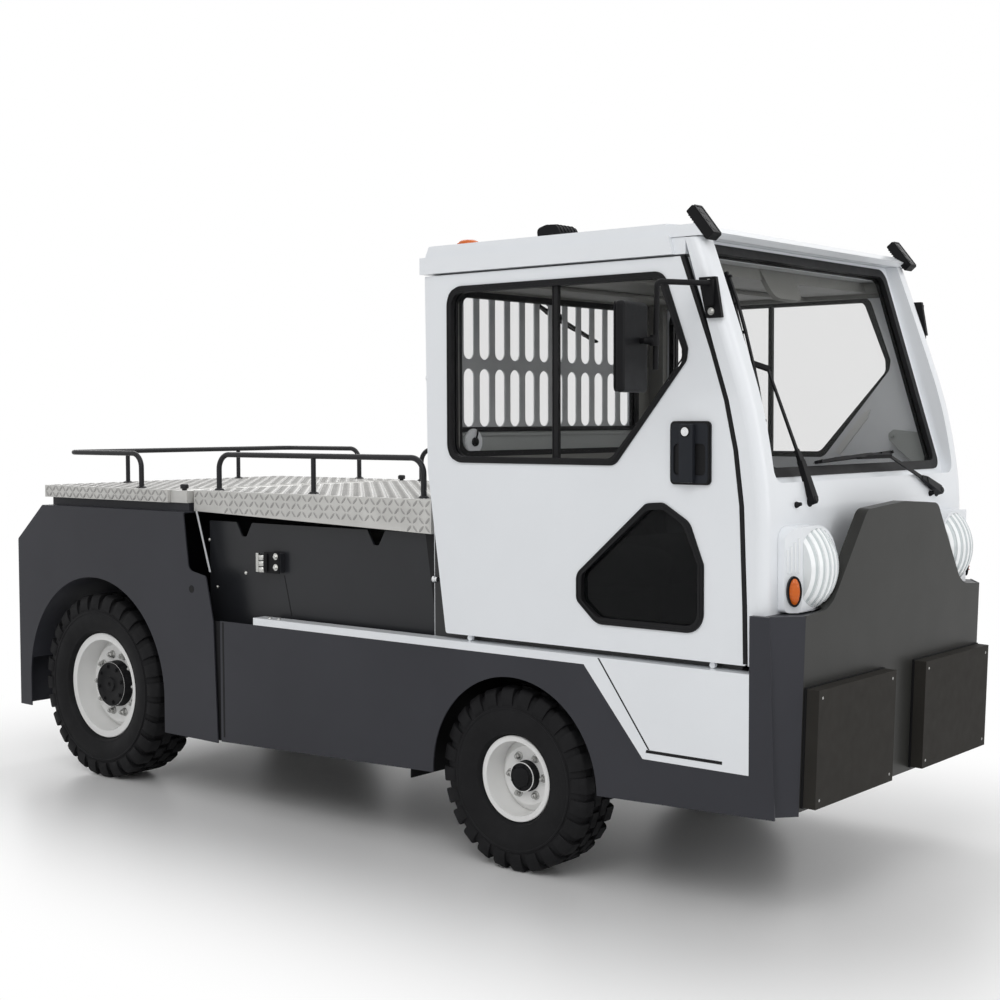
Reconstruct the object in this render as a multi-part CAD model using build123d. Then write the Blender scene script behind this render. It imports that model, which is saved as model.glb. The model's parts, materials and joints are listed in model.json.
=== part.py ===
from build123d import *
import math
import os

# Airport baggage tug: an electric tow tractor with a two-seat cab and a load deck over its battery.
# Millimetres and degrees. +X is forward, +Y is the vehicle's left, +Z is up, the wheels stand on z = 0.
# Stations along the vehicle are measured from the rear axle, and at the end everything is moved so
# that the origin is the middle of the overall box, on the floor.

# Main lengths of the vehicle
WHEELBASE = 2125.0
REAR_OVERHANG = 513.0
NOSE_AHEAD_OF_AXLE = 911.0
CAB_LENGTH = 1262.0
BODY_HALF_WIDTH = 670.0
DECK_TOP = 1162.0
CAB_FLOOR = 700.0
CAB_EAVES = 1890.0
SHEET = 5.0
FIT_GAP = 0.4

# Main planes that follow from them
REAR_END = -REAR_OVERHANG
NOSE_FRONT = WHEELBASE + NOSE_AHEAD_OF_AXLE
CAB_REAR = NOSE_FRONT - CAB_LENGTH
CAB_HALF_WIDTH = BODY_HALF_WIDTH - 20.0

# Wheels and axles
REAR_TYRE_RADIUS = 367.0
REAR_TYRE_WIDTH = 225.0
REAR_BEAD_RADIUS = 190.5
FRONT_TYRE_RADIUS = 292.0
FRONT_TYRE_WIDTH = 180.0
FRONT_BEAD_RADIUS = 127.0
REAR_TYRE_OUTER_FACE = BODY_HALF_WIDTH - 15.0
FRONT_TYRE_OUTER_FACE = BODY_HALF_WIDTH - 20.0
REAR_RIM_HALF = 82.0
FRONT_RIM_HALF = 65.0
REAR_FLANGE = 18.0
FRONT_FLANGE = 9.0
TYRE_TO_RIM_GAP = 0.4
RIM_WALL = 8.0
DISC_WALL = 10.0
REAR_DISC_FACE = 12.0
FRONT_DISC_FACE = 4.0
REAR_HUB_RADIUS = 89.0
REAR_HUB_FACE = 52.0
FRONT_HUB_RADIUS = 47.0
FRONT_HUB_FACE = 34.0
HUB_SEAT_GAP = 0.3
KINGPIN_OFFSET = 105.0
KINGPIN_RADIUS = 17.0
STEERING_ARM_LENGTH = 130.0
KINGPIN_SIDE = FRONT_TYRE_OUTER_FACE - FRONT_TYRE_WIDTH / 2 - KINGPIN_OFFSET
FORK_GAP = 92.0
FORK_LENGTH = 60.0
FORK_WALL = 16.0
KNUCKLE_GAP = 3.0
CYLINDER_STATION = WHEELBASE - STEERING_ARM_LENGTH
CYLINDER_HALF = 150.0
CYLINDER_HEIGHT = FRONT_TYRE_RADIUS - FORK_GAP / 2 - 38
ROD_RADIUS = 11.0
AXLE_BEAM_HEIGHT = 80.0
REAR_AXLE_TUBE_RADIUS = 58.0
DIFFERENTIAL_RADIUS = 150.0

# Body outline
SKIRT_BOTTOM = 244.0
SKIRT_TOP = CAB_FLOOR - 10.0
FENDER_FRONT = 745.0
SKIRT_REAR = FENDER_FRONT + 20.0
SILL_FRONT = NOSE_FRONT - 38.0
SILL_STEP = NOSE_FRONT - 396.0
SILL_REAR = NOSE_FRONT - 611.0
SILL_BOTTOM = 432.0
FENDER_TOP = DECK_TOP - 80.0
FENDER_CHAMFER_LENGTH = 175.0
FENDER_CHAMFER_DROP = 146.0
REAR_ARCH_RADIUS = REAR_TYRE_RADIUS + 70.0
FRONT_ARCH_RADIUS = FRONT_TYRE_RADIUS + 38.0
FRONT_ARCH_SHIFT = 20.0

# Tow hitch: plates one above another, with one bore for the pin through them all
HITCH_PLATES = 4
HITCH_PLATE = 20.0
HITCH_SPACE = 46.0
HITCH_REACH = 92.0
HITCH_BOTTOM = 300.0
HITCH_BORE_RADIUS = 17.5
HITCH_BORE_STATION = REAR_END - HITCH_REACH + 38.0

# Load deck and its lid
DECK_PLATE = 6.0
REAR_DECK_REAR = REAR_END + 156.0
REAR_DECK_FRONT = 436.0
REAR_DECK_HALF_WIDTH = BODY_HALF_WIDTH - 28.0
REAR_DECK_EDGE = 48.0
LID_REAR = REAR_DECK_FRONT + 109.0
LID_FRONT = CAB_REAR - 22.0
LID_HALF_WIDTH = REAR_DECK_HALF_WIDTH - 38.0
LID_EDGE_REAR = 78.0
HINGE_STATION = LID_REAR - 6.0
HINGE_HEIGHT = DECK_TOP - 2.0
HINGE_RADIUS = 5.6
HINGE_PIN_RADIUS = 2.5
HINGE_HALF = 30.0
HINGE_SIDES = (-420.0, 0.0, 420.0)
RAIL_TUBE_RADIUS = 10.0
RAIL_TOP = DECK_TOP + 135.0
RAIL_BEND = 55.0
LID_RAIL_HALF_WIDTH = LID_HALF_WIDTH - 44.0
REAR_RAIL_HALF_WIDTH = REAR_DECK_HALF_WIDTH - 42.0
REAR_RAIL_POST_SIDE = 305.0

# Chassis
RAIL_INNER = 180.0
RAIL_WIDTH = 90.0
RAIL_BOTTOM = 445.0
RAIL_HEIGHT = 110.0
BATTERY_REAR = LID_REAR + 55.0
BEHIND_FRONT_WHEELS = WHEELBASE - 385.0
CROSSMEMBER_STATIONS = (
    REAR_END + 43.0, BATTERY_REAR + 20.0, BATTERY_REAR + 600.0, BEHIND_FRONT_WHEELS, WHEELBASE + 515.0,
)
CROSSMEMBER_LENGTH = 60.0
CROSSMEMBER_BOTTOM = RAIL_BOTTOM + 20.0

# Battery
BATTERY_FRONT = CAB_REAR - 19.0
BATTERY_HALF_WIDTH = LID_HALF_WIDTH - 29.0
BATTERY_BOTTOM = RAIL_BOTTOM + RAIL_HEIGHT + FIT_GAP
BATTERY_TOP = DECK_TOP - 114.0
LID_EDGE_FRONT = DECK_TOP - BATTERY_TOP - FIT_GAP
BATTERY_WALL = 8.0
LIFT_NOTCH_WIDTH = 86.0
LIFT_NOTCH_DEPTH = 52.0
LIFT_NOTCH_STATIONS = (BATTERY_REAR + 195.0, BATTERY_FRONT - 283.0)
CATCH_STATION = BATTERY_REAR + 292.0
CATCH_LENGTH = 122.0
CATCH_TOP = BATTERY_TOP - 103.0
CATCH_HEIGHT = 69.0

# Cab
CAB_WALL = 26.0
CAB_CORNER = 32.0
FLOOR_PLATE = 30.0
SCREEN_FOOT_STATION = NOSE_FRONT - 33.0
SCREEN_FOOT = 1215.0
SCREEN_SLOPE = 211.0
SCREEN_HEAD_STATION = SCREEN_FOOT_STATION - SCREEN_SLOPE
SCREEN_LENGTH = math.hypot(SCREEN_SLOPE, CAB_EAVES - SCREEN_FOOT)
NOSE_TOP = SCREEN_FOOT - 85.0
SCREEN_HALF_WIDTH = CAB_HALF_WIDTH - 89.0
SCREEN_LOW = 44.0
SCREEN_HIGH = SCREEN_LENGTH + 38.8
SCREEN_SEAL = 28.0
SCREEN_RECESS = 24.0
PILLAR_AHEAD = 72.0
HEADER_STATION = SCREEN_HEAD_STATION + 28.0
HEADER_REAR = SCREEN_HEAD_STATION - 22.0
WINDOW_SILL = 1287.0
WINDOW_HEAD = CAB_EAVES - 42.0
REAR_WINDOW_HALF_WIDTH = CAB_HALF_WIDTH - 130.0
REAR_WINDOW_BOTTOM = WINDOW_SILL + 13.0
REAR_WINDOW_TOP = WINDOW_HEAD + 2.0
REAR_WINDOW_CORNER = 50.0
RAIL_COVER_HEIGHT = 49.0
ROOF_THICKNESS = 42.0
ROOF_STEP = CAB_EAVES + RAIL_COVER_HEIGHT
ROOF_TOP = ROOF_STEP + ROOF_THICKNESS
HEADER_TOP = ROOF_STEP - FIT_GAP
ROOF_HALF_WIDTH = CAB_HALF_WIDTH
ROOF_LIP_HALF_WIDTH = CAB_HALF_WIDTH - 49.0
RAIL_COVER_HALF_WIDTH = CAB_HALF_WIDTH + 12.0
ROOF_REAR = CAB_REAR - 14.0
RAIL_COVER_FRONT = HEADER_REAR - 35.0
ROOF_LIP = HEADER_STATION + 18.0
GLASS = 6.0
SEAL_WIDTH = 20.0
SEAL_PROUD = 5.0

# Slanted seam between door and cab front, from a bend at the foot of the windscreen up to the eaves:
# rows of (distance behind the nose, share of the height from the bend)
SEAM_BEND = SCREEN_FOOT - 35.0
SEAM_HEAD = CAB_EAVES + 2.0
SEAM_CURVE = ((74.0, 0.0), (94.0, 0.22), (125.0, 0.416), (171.0, 0.614), (272.0, 1.0))

# Sliding doors
DOOR_THICKNESS = 30.0
DOOR_RAIL_TOP = SKIRT_TOP + 26.0
DOOR_BOTTOM = DOOR_RAIL_TOP + 19.0
NOSE_BOTTOM = DOOR_BOTTOM
DOOR_TOP = CAB_EAVES - 4.0
DOOR_TO_FRAME = 7.0
DOOR_OUTER = CAB_HALF_WIDTH
DOOR_INNER = CAB_HALF_WIDTH - DOOR_THICKNESS
DOOR_GLASS_OUTER = DOOR_OUTER - 12.0
FRAME_OUTER = DOOR_INNER - DOOR_TO_FRAME
DOOR_TO_SEAM = 6.0
DOOR_ROLLER_RADIUS = 9.0
DOOR_RAIL_REAR = CAB_REAR - 828.0
HANDLE_REAR = NOSE_FRONT - 309.0
HANDLE_LENGTH = 135.0
HANDLE_BOTTOM = WINDOW_SILL - 50.0
HANDLE_HEIGHT = 181.0

# Seats and steering column
SEAT_INNER = 60.0
SEAT_OUTER = CAB_HALF_WIDTH - 130.0
SEAT_SIDE = (SEAT_INNER + SEAT_OUTER) / 2
SEAT_HALF_WIDTH = (SEAT_OUTER - SEAT_INNER) / 2
SEAT_BASE_TOP = CAB_FLOOR + 205.0
COLUMN_LEAN = 62.0
COLUMN_STATION = NOSE_FRONT - 376.0
COLUMN_SIDE = SEAT_SIDE
COLUMN_TOP = SCREEN_FOOT - 55.0
STEERING_WHEEL_RADIUS = 170.0

# Rear window guard
GUARD_SLOTS = 13
GUARD_HALF_WIDTH = CAB_HALF_WIDTH - 109.0
GUARD_EDGE = 8.0
GUARD_SLOT_PITCH = 2 * (GUARD_HALF_WIDTH - GUARD_EDGE) / GUARD_SLOTS
GUARD_SLOT_WIDTH = 53.0
GUARD_BOTTOM = DECK_TOP + 218.0
GUARD_TOP = CAB_EAVES - 18.0
GUARD_WEB_MIDDLE = GUARD_BOTTOM + 0.4715 * (GUARD_TOP - GUARD_BOTTOM)
GUARD_WEB = 32.0
GUARD_MARGIN = 21.0
GUARD_ROWS = (
    (GUARD_BOTTOM + GUARD_MARGIN, GUARD_WEB_MIDDLE - GUARD_WEB / 2),
    (GUARD_WEB_MIDDLE + GUARD_WEB / 2, GUARD_TOP - GUARD_MARGIN),
)
GUARD_THICKNESS = 5.0
GUARD_STAND_OFF = 22.0

# Windscreen wipers, right and left: pivot, arm's end, blade's foot and head, each as (distance ahead
# of the screen, share of its half width, share of its height)
WIPERS = (
    ((46.0, -0.713, -0.035), (44.0, -0.884, 0.485), (21.0, -0.940, 0.150), (22.0, -0.900, 0.885)),
    ((50.0, 0.793, -0.039), (52.0, 0.214, 0.123), (23.0, 0.349, 0.142), (21.0, -0.535, 0.114)),
)

# Front end
PLATE_TOP_STATION = NOSE_FRONT + 90.0
PLATE_SHOULDER = 879.0
PLATE_HALF_WIDTH = BODY_HALF_WIDTH - 86.0
PLATE_BOTTOM = 330.0
PLATE_LEAN = 1.88
PLATE_THICKNESS = 12.0
PLATE_FLANGE = 36.0
HUMP_HEIGHT = 295.0
PAD_THICKNESS = 45.0
CORNER_SETBACK = 64.0
HEADLIGHT_RADIUS = 120.0
HEADLIGHT_HOUSING = 58.0
HEADLIGHT_CHAMFER = 36.0
HEADLIGHT_HEIGHT = PLATE_SHOULDER + HEADLIGHT_RADIUS + 4.0
HEADLIGHT_SIDE = PLATE_HALF_WIDTH - 121.0
LENS_OUTER = 80.0
HEADLIGHT_DOME = 48.0
HEADLIGHT_FLUTES = 7
LAMP_LEAN = 38.7
LAMP_HEIGHT = 110.0
LAMP_THICKNESS = 28.0
LAMP_WIDTH = 46.0
LAMP_FOOT_STATION = ROOF_LIP + 25.0
LAMP_FOOT = ROOF_STEP + 4.0


# Helpers

def block(x0, x1, y0, y1, z0, z1):
    return Pos((x0 + x1) / 2, (y0 + y1) / 2, (z0 + z1) / 2) * Box(x1 - x0, y1 - y0, z1 - z0)


def largest_radius(before, corner, after):
    """The largest radius that the two edges beside a corner leave room for."""
    reach = []
    for a, b, radius in (before, after):
        edge = math.hypot(a - corner[0], b - corner[1])
        reach.append(edge * (0.49 if radius else 0.98))
    into = math.atan2(corner[1] - before[1], corner[0] - before[0])
    out = math.atan2(after[1] - corner[1], after[0] - corner[0])
    turn = abs((out - into + math.pi) % (2 * math.pi) - math.pi)
    return min(reach) / math.tan(turn / 2)


def outline(rows):
    """A closed face from rows of (across, up, corner radius)."""
    face = make_face(Polyline(*[(a, b) for a, b, r in rows], close=True))
    for i, (a, b, r) in enumerate(rows):
        if r:
            room = largest_radius(rows[i - 1], rows[i], rows[(i + 1) % len(rows)])
            corner = face.vertices().sort_by_distance((a, b, 0))[0]
            face = fillet(corner, min(r, room))
    return face


def side_plate(rows, y0, y1):
    """Rows of (x, z, corner radius) seen from the right, as a slab from y0 up to y1."""
    return extrude(Plane.XZ.offset(-y1) * outline(rows), y1 - y0)


def front_plate_slab(rows, x0, x1):
    """Rows of (y, z, corner radius) seen from the front, as a slab from x0 up to x1."""
    return extrude(Plane.YZ.offset(x0) * outline(rows), x1 - x0)


def floor_plate(rows, z0, z1):
    """Rows of (x, y, corner radius) seen from above, as a slab from z0 up to z1."""
    return extrude(Plane.XY.offset(z0) * outline(rows), z1 - z0)


def rod_y(x, z, radius, y0, y1):
    return Pos(x, (y0 + y1) / 2, z) * Rot(90, 0, 0) * Cylinder(radius, y1 - y0)


def rod_x(y, z, radius, x0, x1):
    return Pos((x0 + x1) / 2, y, z) * Rot(0, 90, 0) * Cylinder(radius, x1 - x0)


def rod_z(x, y, radius, z0, z1):
    return Pos(x, y, (z0 + z1) / 2) * Cylinder(radius, z1 - z0)


def bent_tube(points, radius, bend):
    path = FilletPolyline(*points, radius=bend)
    start = Plane(origin=path @ 0, z_dir=path % 0)
    return sweep(start * Circle(radius), path=path)


def other_side(shape):
    return mirror(shape, about=Plane.XZ)


def both_sides(shape):
    return [shape, other_side(shape)]


def revolve_y(rows):
    """Rows of (y, radius), turned about the Y axis."""
    face = make_face(Polyline(*[(r, y) for y, r in rows], close=True))
    return revolve(face, axis=Axis.Y)


# Wheels

def wheel_centre_right(tyre_outer_face, tyre_width):
    return -(tyre_outer_face - tyre_width / 2)


def tyre(radius, width, bead_radius, rim_half, flange):
    """Rows of (y, radius): bead between the flanges, round sidewall, shoulder and tread."""
    bead = bead_radius + TYRE_TO_RIM_GAP
    foot = rim_half - RIM_WALL - TYRE_TO_RIM_GAP
    half = width / 2
    depth = radius - bead
    side = [
        (foot, bead),
        (foot, bead + flange + 3),
        (half * 0.92, bead + flange + depth * 0.10),
        (half, bead + depth * 0.48),
        (half * 0.97, bead + depth * 0.76),
        (half * 0.88, radius - depth * 0.03),
        (half * 0.80, radius),
    ]
    return revolve_y([(-y, r) for y, r in side] + [(y, r) for y, r in reversed(side)])


def rim(bead_radius, half_width, flange, disc_face, hub_radius, hub_face):
    """A dished rim whose outside is towards -Y: barrel, two flanges, sloping disc and hub."""
    inner = bead_radius - RIM_WALL
    disc_wall = DISC_WALL
    shoulder = inner - 26.0
    return revolve_y([
        (-half_width, inner), (-half_width, bead_radius + flange),
        (-half_width + RIM_WALL, bead_radius + flange), (-half_width + RIM_WALL, bead_radius),
        (half_width - RIM_WALL, bead_radius), (half_width - RIM_WALL, bead_radius + flange),
        (half_width, bead_radius + flange), (half_width, inner),
        (-disc_face + disc_wall + 26.0, inner), (-disc_face + disc_wall, shoulder),
        (-disc_face + disc_wall, 0.0), (-hub_face, 0.0), (-hub_face, hub_radius),
        (-disc_face, hub_radius), (-disc_face, shoulder), (-disc_face + 26.0, inner),
    ])


def place_wheel(shape, station, side, radius):
    return Pos(station, side, radius) * shape


def rear_wheels():
    side = wheel_centre_right(REAR_TYRE_OUTER_FACE, REAR_TYRE_WIDTH)
    rubber = tyre(REAR_TYRE_RADIUS, REAR_TYRE_WIDTH, REAR_BEAD_RADIUS, REAR_RIM_HALF, REAR_FLANGE)
    metal = rim(REAR_BEAD_RADIUS, REAR_RIM_HALF, REAR_FLANGE, REAR_DISC_FACE, REAR_HUB_RADIUS, REAR_HUB_FACE)
    rubber = place_wheel(rubber, 0, side, REAR_TYRE_RADIUS)
    metal = place_wheel(metal, 0, side, REAR_TYRE_RADIUS)
    return rubber, metal


def front_wheels():
    side = wheel_centre_right(FRONT_TYRE_OUTER_FACE, FRONT_TYRE_WIDTH)
    rubber = tyre(FRONT_TYRE_RADIUS, FRONT_TYRE_WIDTH, FRONT_BEAD_RADIUS, FRONT_RIM_HALF, FRONT_FLANGE)
    metal = rim(
        FRONT_BEAD_RADIUS, FRONT_RIM_HALF, FRONT_FLANGE, FRONT_DISC_FACE, FRONT_HUB_RADIUS, FRONT_HUB_FACE,
    )
    rubber = place_wheel(rubber, WHEELBASE, side, FRONT_TYRE_RADIUS)
    metal = place_wheel(metal, WHEELBASE, side, FRONT_TYRE_RADIUS)
    return rubber, metal


def front_axle():
    """Beam with a forked end at each kingpin, its mounting blocks and the steering cylinder."""
    z = FRONT_TYRE_RADIUS
    beam_end = KINGPIN_SIDE - FORK_LENGTH
    half = AXLE_BEAM_HEIGHT / 2
    beam = block(WHEELBASE - 45, WHEELBASE + 45, -beam_end, beam_end, z - half, z + half)
    fork_top = FORK_GAP / 2 + FORK_WALL
    for s in (-1, 1):
        inner, outer = sorted((s * (beam_end - 1), s * (KINGPIN_SIDE + 28)))
        for z0, z1 in ((-fork_top, -FORK_GAP / 2), (FORK_GAP / 2, fork_top)):
            beam += block(WHEELBASE - 32, WHEELBASE + 32, inner, outer, z + z0, z + z1)
        web_inner, web_outer = sorted((s * (beam_end - 20), s * (beam_end + 4)))
        beam += block(WHEELBASE - 45, WHEELBASE + 45, web_inner, web_outer, z - fork_top, z + fork_top)
        beam += rod_z(WHEELBASE, s * KINGPIN_SIDE, KINGPIN_RADIUS, z - fork_top, z + fork_top)
        y0, y1 = sorted((s * (RAIL_INNER + 10), s * (RAIL_INNER + RAIL_WIDTH - 10)))
        top = RAIL_BOTTOM - FIT_GAP
        beam += block(WHEELBASE - 60, WHEELBASE + 60, y0, y1, z + half - 1, top)
    beam += steering_cylinder()
    return beam


def steering_cylinder():
    x, z = CYLINDER_STATION, CYLINDER_HEIGHT
    barrel = rod_y(x, z, 32.0, -CYLINDER_HALF, CYLINDER_HALF)
    barrel += block(x - 20, WHEELBASE - 44, -60, 60, z, FRONT_TYRE_RADIUS - 20)
    return barrel - rod_y(x, z, ROD_RADIUS + FIT_GAP, -CYLINDER_HALF - 1, CYLINDER_HALF + 1)


def steering_rod():
    reach = KINGPIN_SIDE - 46
    rod = rod_y(CYLINDER_STATION, CYLINDER_HEIGHT, ROD_RADIUS, -reach, reach)
    for s in (-1, 1):
        rod += rod_z(CYLINDER_STATION, s * reach, 20.0, CYLINDER_HEIGHT - 14, CYLINDER_HEIGHT + 14)
    return rod


def knuckle():
    """Right steering knuckle: bored eye round the kingpin, stub axle, hub disc and steering arm."""
    z = FRONT_TYRE_RADIUS
    half = FORK_GAP / 2 - KNUCKLE_GAP
    side = -KINGPIN_SIDE
    piece = rod_z(WHEELBASE, side, 34.0, z - half, z + half)
    wheel_side = wheel_centre_right(FRONT_TYRE_OUTER_FACE, FRONT_TYRE_WIDTH)
    hub_face = wheel_side - FRONT_DISC_FACE + DISC_WALL + HUB_SEAT_GAP
    piece += rod_y(WHEELBASE, z, 30.0, hub_face, side - 30)
    piece += rod_y(WHEELBASE, z, 84.0, hub_face, hub_face + 36)
    arm_z = z - half
    arm = block(CYLINDER_STATION - 18, WHEELBASE - 20, side - 18, side + 18, arm_z, arm_z + 20)
    arm += rod_z(CYLINDER_STATION, side, 24.0, arm_z, arm_z + 20)
    piece += arm
    return piece - rod_z(WHEELBASE, side, KINGPIN_RADIUS + FIT_GAP, z - half - 1, z + half + 1)


def rear_axle():
    z = REAR_TYRE_RADIUS
    wheel_side = wheel_centre_right(REAR_TYRE_OUTER_FACE, REAR_TYRE_WIDTH)
    hub_face = -wheel_side + REAR_DISC_FACE - DISC_WALL - HUB_SEAT_GAP
    axle = rod_y(0, z, REAR_AXLE_TUBE_RADIUS, -hub_face + 5, hub_face - 5)
    axle += Pos(0, 60, z) * Sphere(DIFFERENTIAL_RADIUS)
    axle += rod_x(60, z, 95, 0, 330)
    for s in (-1, 1):
        y0, y1 = sorted((s * (hub_face - 70), s * hub_face))
        axle += rod_y(0, z, 120.0, y0, y1)
        y0, y1 = sorted((s * (RAIL_INNER + 5), s * (RAIL_INNER + RAIL_WIDTH - 5)))
        axle += block(-55, 55, y0, y1, z, RAIL_BOTTOM - FIT_GAP)
    side = RAIL_INNER + RAIL_WIDTH
    return axle - block(-400, 400, -side, side, RAIL_BOTTOM - FIT_GAP, z + 400)


# Chassis and outer body

def chassis_frame():
    rear = REAR_END + SHEET + 3
    front = NOSE_FRONT - 20
    top = RAIL_BOTTOM + RAIL_HEIGHT
    rail = block(rear, front, RAIL_INNER, RAIL_INNER + RAIL_WIDTH, RAIL_BOTTOM, top)
    frame = rail + other_side(rail)
    inner_skin = BODY_HALF_WIDTH - SHEET - FIT_GAP
    for station in CROSSMEMBER_STATIONS:
        half = CROSSMEMBER_LENGTH / 2
        frame += block(station - half, station + half, -inner_skin, inner_skin, CROSSMEMBER_BOTTOM, top)
    return frame


def splash_plates():
    """Right splash plates under two crossmembers: ahead of the rear wheel and behind the front one."""
    y0 = -BODY_HALF_WIDTH + SHEET + FIT_GAP
    y1 = -RAIL_INNER - RAIL_WIDTH - FIT_GAP
    half = CROSSMEMBER_LENGTH / 2
    plates = []
    for x in (BATTERY_REAR + 20 + half - SHEET, BEHIND_FRONT_WHEELS - half):
        plates.append(block(x, x + SHEET, y0, y1, SKIRT_BOTTOM, CROSSMEMBER_BOTTOM - FIT_GAP))
    return plates


def plate_face(z):
    """Station of the leaning front plate's face at a height."""
    return PLATE_TOP_STATION + (PLATE_SHOULDER - z) * math.tan(math.radians(PLATE_LEAN))


def skirt():
    """Right skirt with its front wheel arch, the chamfered front corner and the ledge above it."""
    arch_x = WHEELBASE + FRONT_ARCH_SHIFT
    y0 = -BODY_HALF_WIDTH
    y1 = y0 + SHEET
    low = PLATE_BOTTOM - 12
    top = PLATE_SHOULDER
    panel = side_plate([
        (SKIRT_REAR, SKIRT_BOTTOM, 0), (plate_face(low) - CORNER_SETBACK, low, 0),
        (plate_face(top) - CORNER_SETBACK, top, 0), (SILL_FRONT, top, 0), (SILL_FRONT, SILL_BOTTOM, 0),
        (SILL_STEP, SILL_BOTTOM, 0), (SILL_REAR, SKIRT_TOP, 0), (SKIRT_REAR, SKIRT_TOP, 0),
    ], y0, y1)
    r = FRONT_ARCH_RADIUS
    panel -= rod_y(arch_x, FRONT_TYRE_RADIUS, r, y0 - 1, y1 + 1)
    panel -= block(arch_x - r, arch_x + r, y0 - 1, y1 + 1, 0, FRONT_TYRE_RADIUS)
    edge = -PLATE_HALF_WIDTH - FIT_GAP
    corner = on_front_plate(floor_plate([
        (-CORNER_SETBACK, y0, 0), (0, edge, 0), (-SHEET * 1.5, edge, 0), (-CORNER_SETBACK - 3, y1, 0),
    ], low, top))
    back = PLATE_TOP_STATION - PLATE_THICKNESS - 1
    nose = NOSE_FRONT + FIT_GAP
    cab_side = -CAB_HALF_WIDTH - FIT_GAP
    ledge = floor_plate([
        (SILL_FRONT, y1 - 1, 0), (plate_face(top) - CORNER_SETBACK - 3, y1 - 1, 0), (back, edge, 0),
        (back, -RAIL_INNER, 0), (nose, -RAIL_INNER, 0), (nose, cab_side, 0), (SILL_FRONT, cab_side, 0),
    ], top - SHEET, top)
    return panel + corner + ledge


def door_rail():
    """Right lower door rail and the white sill panel that carries it on under the cab."""
    y0 = -BODY_HALF_WIDTH
    y1 = -FRAME_OUTER - FIT_GAP
    rail = block(DOOR_RAIL_REAR, SILL_FRONT - FIT_GAP, y0, y1, SKIRT_TOP + FIT_GAP, DOOR_RAIL_TOP)
    sill = side_plate([
        (SILL_REAR + 1, SKIRT_TOP + 1, 0), (SILL_STEP + 1, SILL_BOTTOM + FIT_GAP, 0),
        (SILL_FRONT - FIT_GAP, SILL_BOTTOM + FIT_GAP, 0), (SILL_FRONT - FIT_GAP, SKIRT_TOP + 1, 0),
    ], y0, y0 + SHEET)
    return rail + sill


def rear_fender():
    """Right rear fender: outer skin with its wheel arch, front return and rear return."""
    y0 = -BODY_HALF_WIDTH
    x = FENDER_FRONT
    top = FENDER_TOP
    skin = side_plate([
        (REAR_END, SKIRT_BOTTOM, 0), (x, SKIRT_BOTTOM - 8, 0), (x - 20, SKIRT_TOP - 4, 30),
        (x - 59, top - 232, 12), (x - 156, top - 214, 30), (x - 185, top, 6),
        (REAR_END + FENDER_CHAMFER_LENGTH, top, 10), (REAR_END, top - FENDER_CHAMFER_DROP, 10),
    ], y0, y0 + SHEET)
    skin -= rod_y(0, REAR_TYRE_RADIUS, REAR_ARCH_RADIUS, y0 - 1, y0 + SHEET + 1)
    skin -= block(-REAR_ARCH_RADIUS, REAR_ARCH_RADIUS, y0 - 1, y0 + SHEET + 1, 0, REAR_TYRE_RADIUS)
    skin -= rod_y(x - 138, top - 285, 12, y0 - 1, y0 + SHEET + 1)
    outer = REAR_ARCH_RADIUS + SHEET
    house = rod_y(0, REAR_TYRE_RADIUS, outer, y0 + SHEET - 1, -RAIL_INNER - RAIL_WIDTH - 20)
    house -= rod_y(0, REAR_TYRE_RADIUS, REAR_ARCH_RADIUS, y0, -RAIL_INNER)
    house -= block(-outer - 1, outer + 1, y0, -RAIL_INNER, -outer, RAIL_BOTTOM)
    return skin + house


def rear_panel():
    """Rear sheet from side to side, sloped at the top like the fenders, with the shelf under the deck."""
    half = BODY_HALF_WIDTH - SHEET - FIT_GAP
    x = REAR_END
    top = FENDER_TOP
    drop = FENDER_CHAMFER_DROP
    run = FENDER_CHAMFER_LENGTH
    shelf = LID_REAR - 5
    profile = side_plate([
        (x, SKIRT_BOTTOM, 0), (x + SHEET, SKIRT_BOTTOM, 0), (x + SHEET, top - drop - 2, 0),
        (x + run + 2, top - SHEET, 0), (shelf, top - SHEET, 0), (shelf, top, 0), (x + run, top, 0),
        (x, top - drop, 0),
    ], -half, half)
    rear = REAR_DECK_REAR + 12
    front = REAR_DECK_FRONT + 90
    side = REAR_DECK_HALF_WIDTH - 30
    riser = block(rear, front, -side, side, top - 1, DECK_TOP - REAR_DECK_EDGE - FIT_GAP)
    riser -= block(rear + 6, front - 6, -side + 6, side - 6, top - 10, DECK_TOP)
    return profile + riser


def tow_hitch():
    low = HITCH_BOTTOM
    high = low + HITCH_PLATES * HITCH_PLATE + (HITCH_PLATES - 1) * HITCH_SPACE
    root = REAR_END - 17
    tip = REAR_END - HITCH_REACH
    hitch = block(root - 1 - FIT_GAP, REAR_END - FIT_GAP, -110, 110, low - 20, high + 20)
    for i in range(HITCH_PLATES):
        z = low + i * (HITCH_PLATE + HITCH_SPACE)
        rows = [(root, -80, 0), (tip, -50, 34), (tip, 50, 34), (root, 80, 0)]
        hitch += floor_plate(rows, z, z + HITCH_PLATE)
    return hitch - rod_z(HITCH_BORE_STATION, 0, HITCH_BORE_RADIUS, low - 1, high + 1)


def rear_lamps():
    outer = -BODY_HALF_WIDTH + 30
    low = SKIRT_TOP - 30
    return both_sides(block(REAR_END - 22, REAR_END - FIT_GAP, outer, outer + 120, low, low + 100))


# Deck

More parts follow.
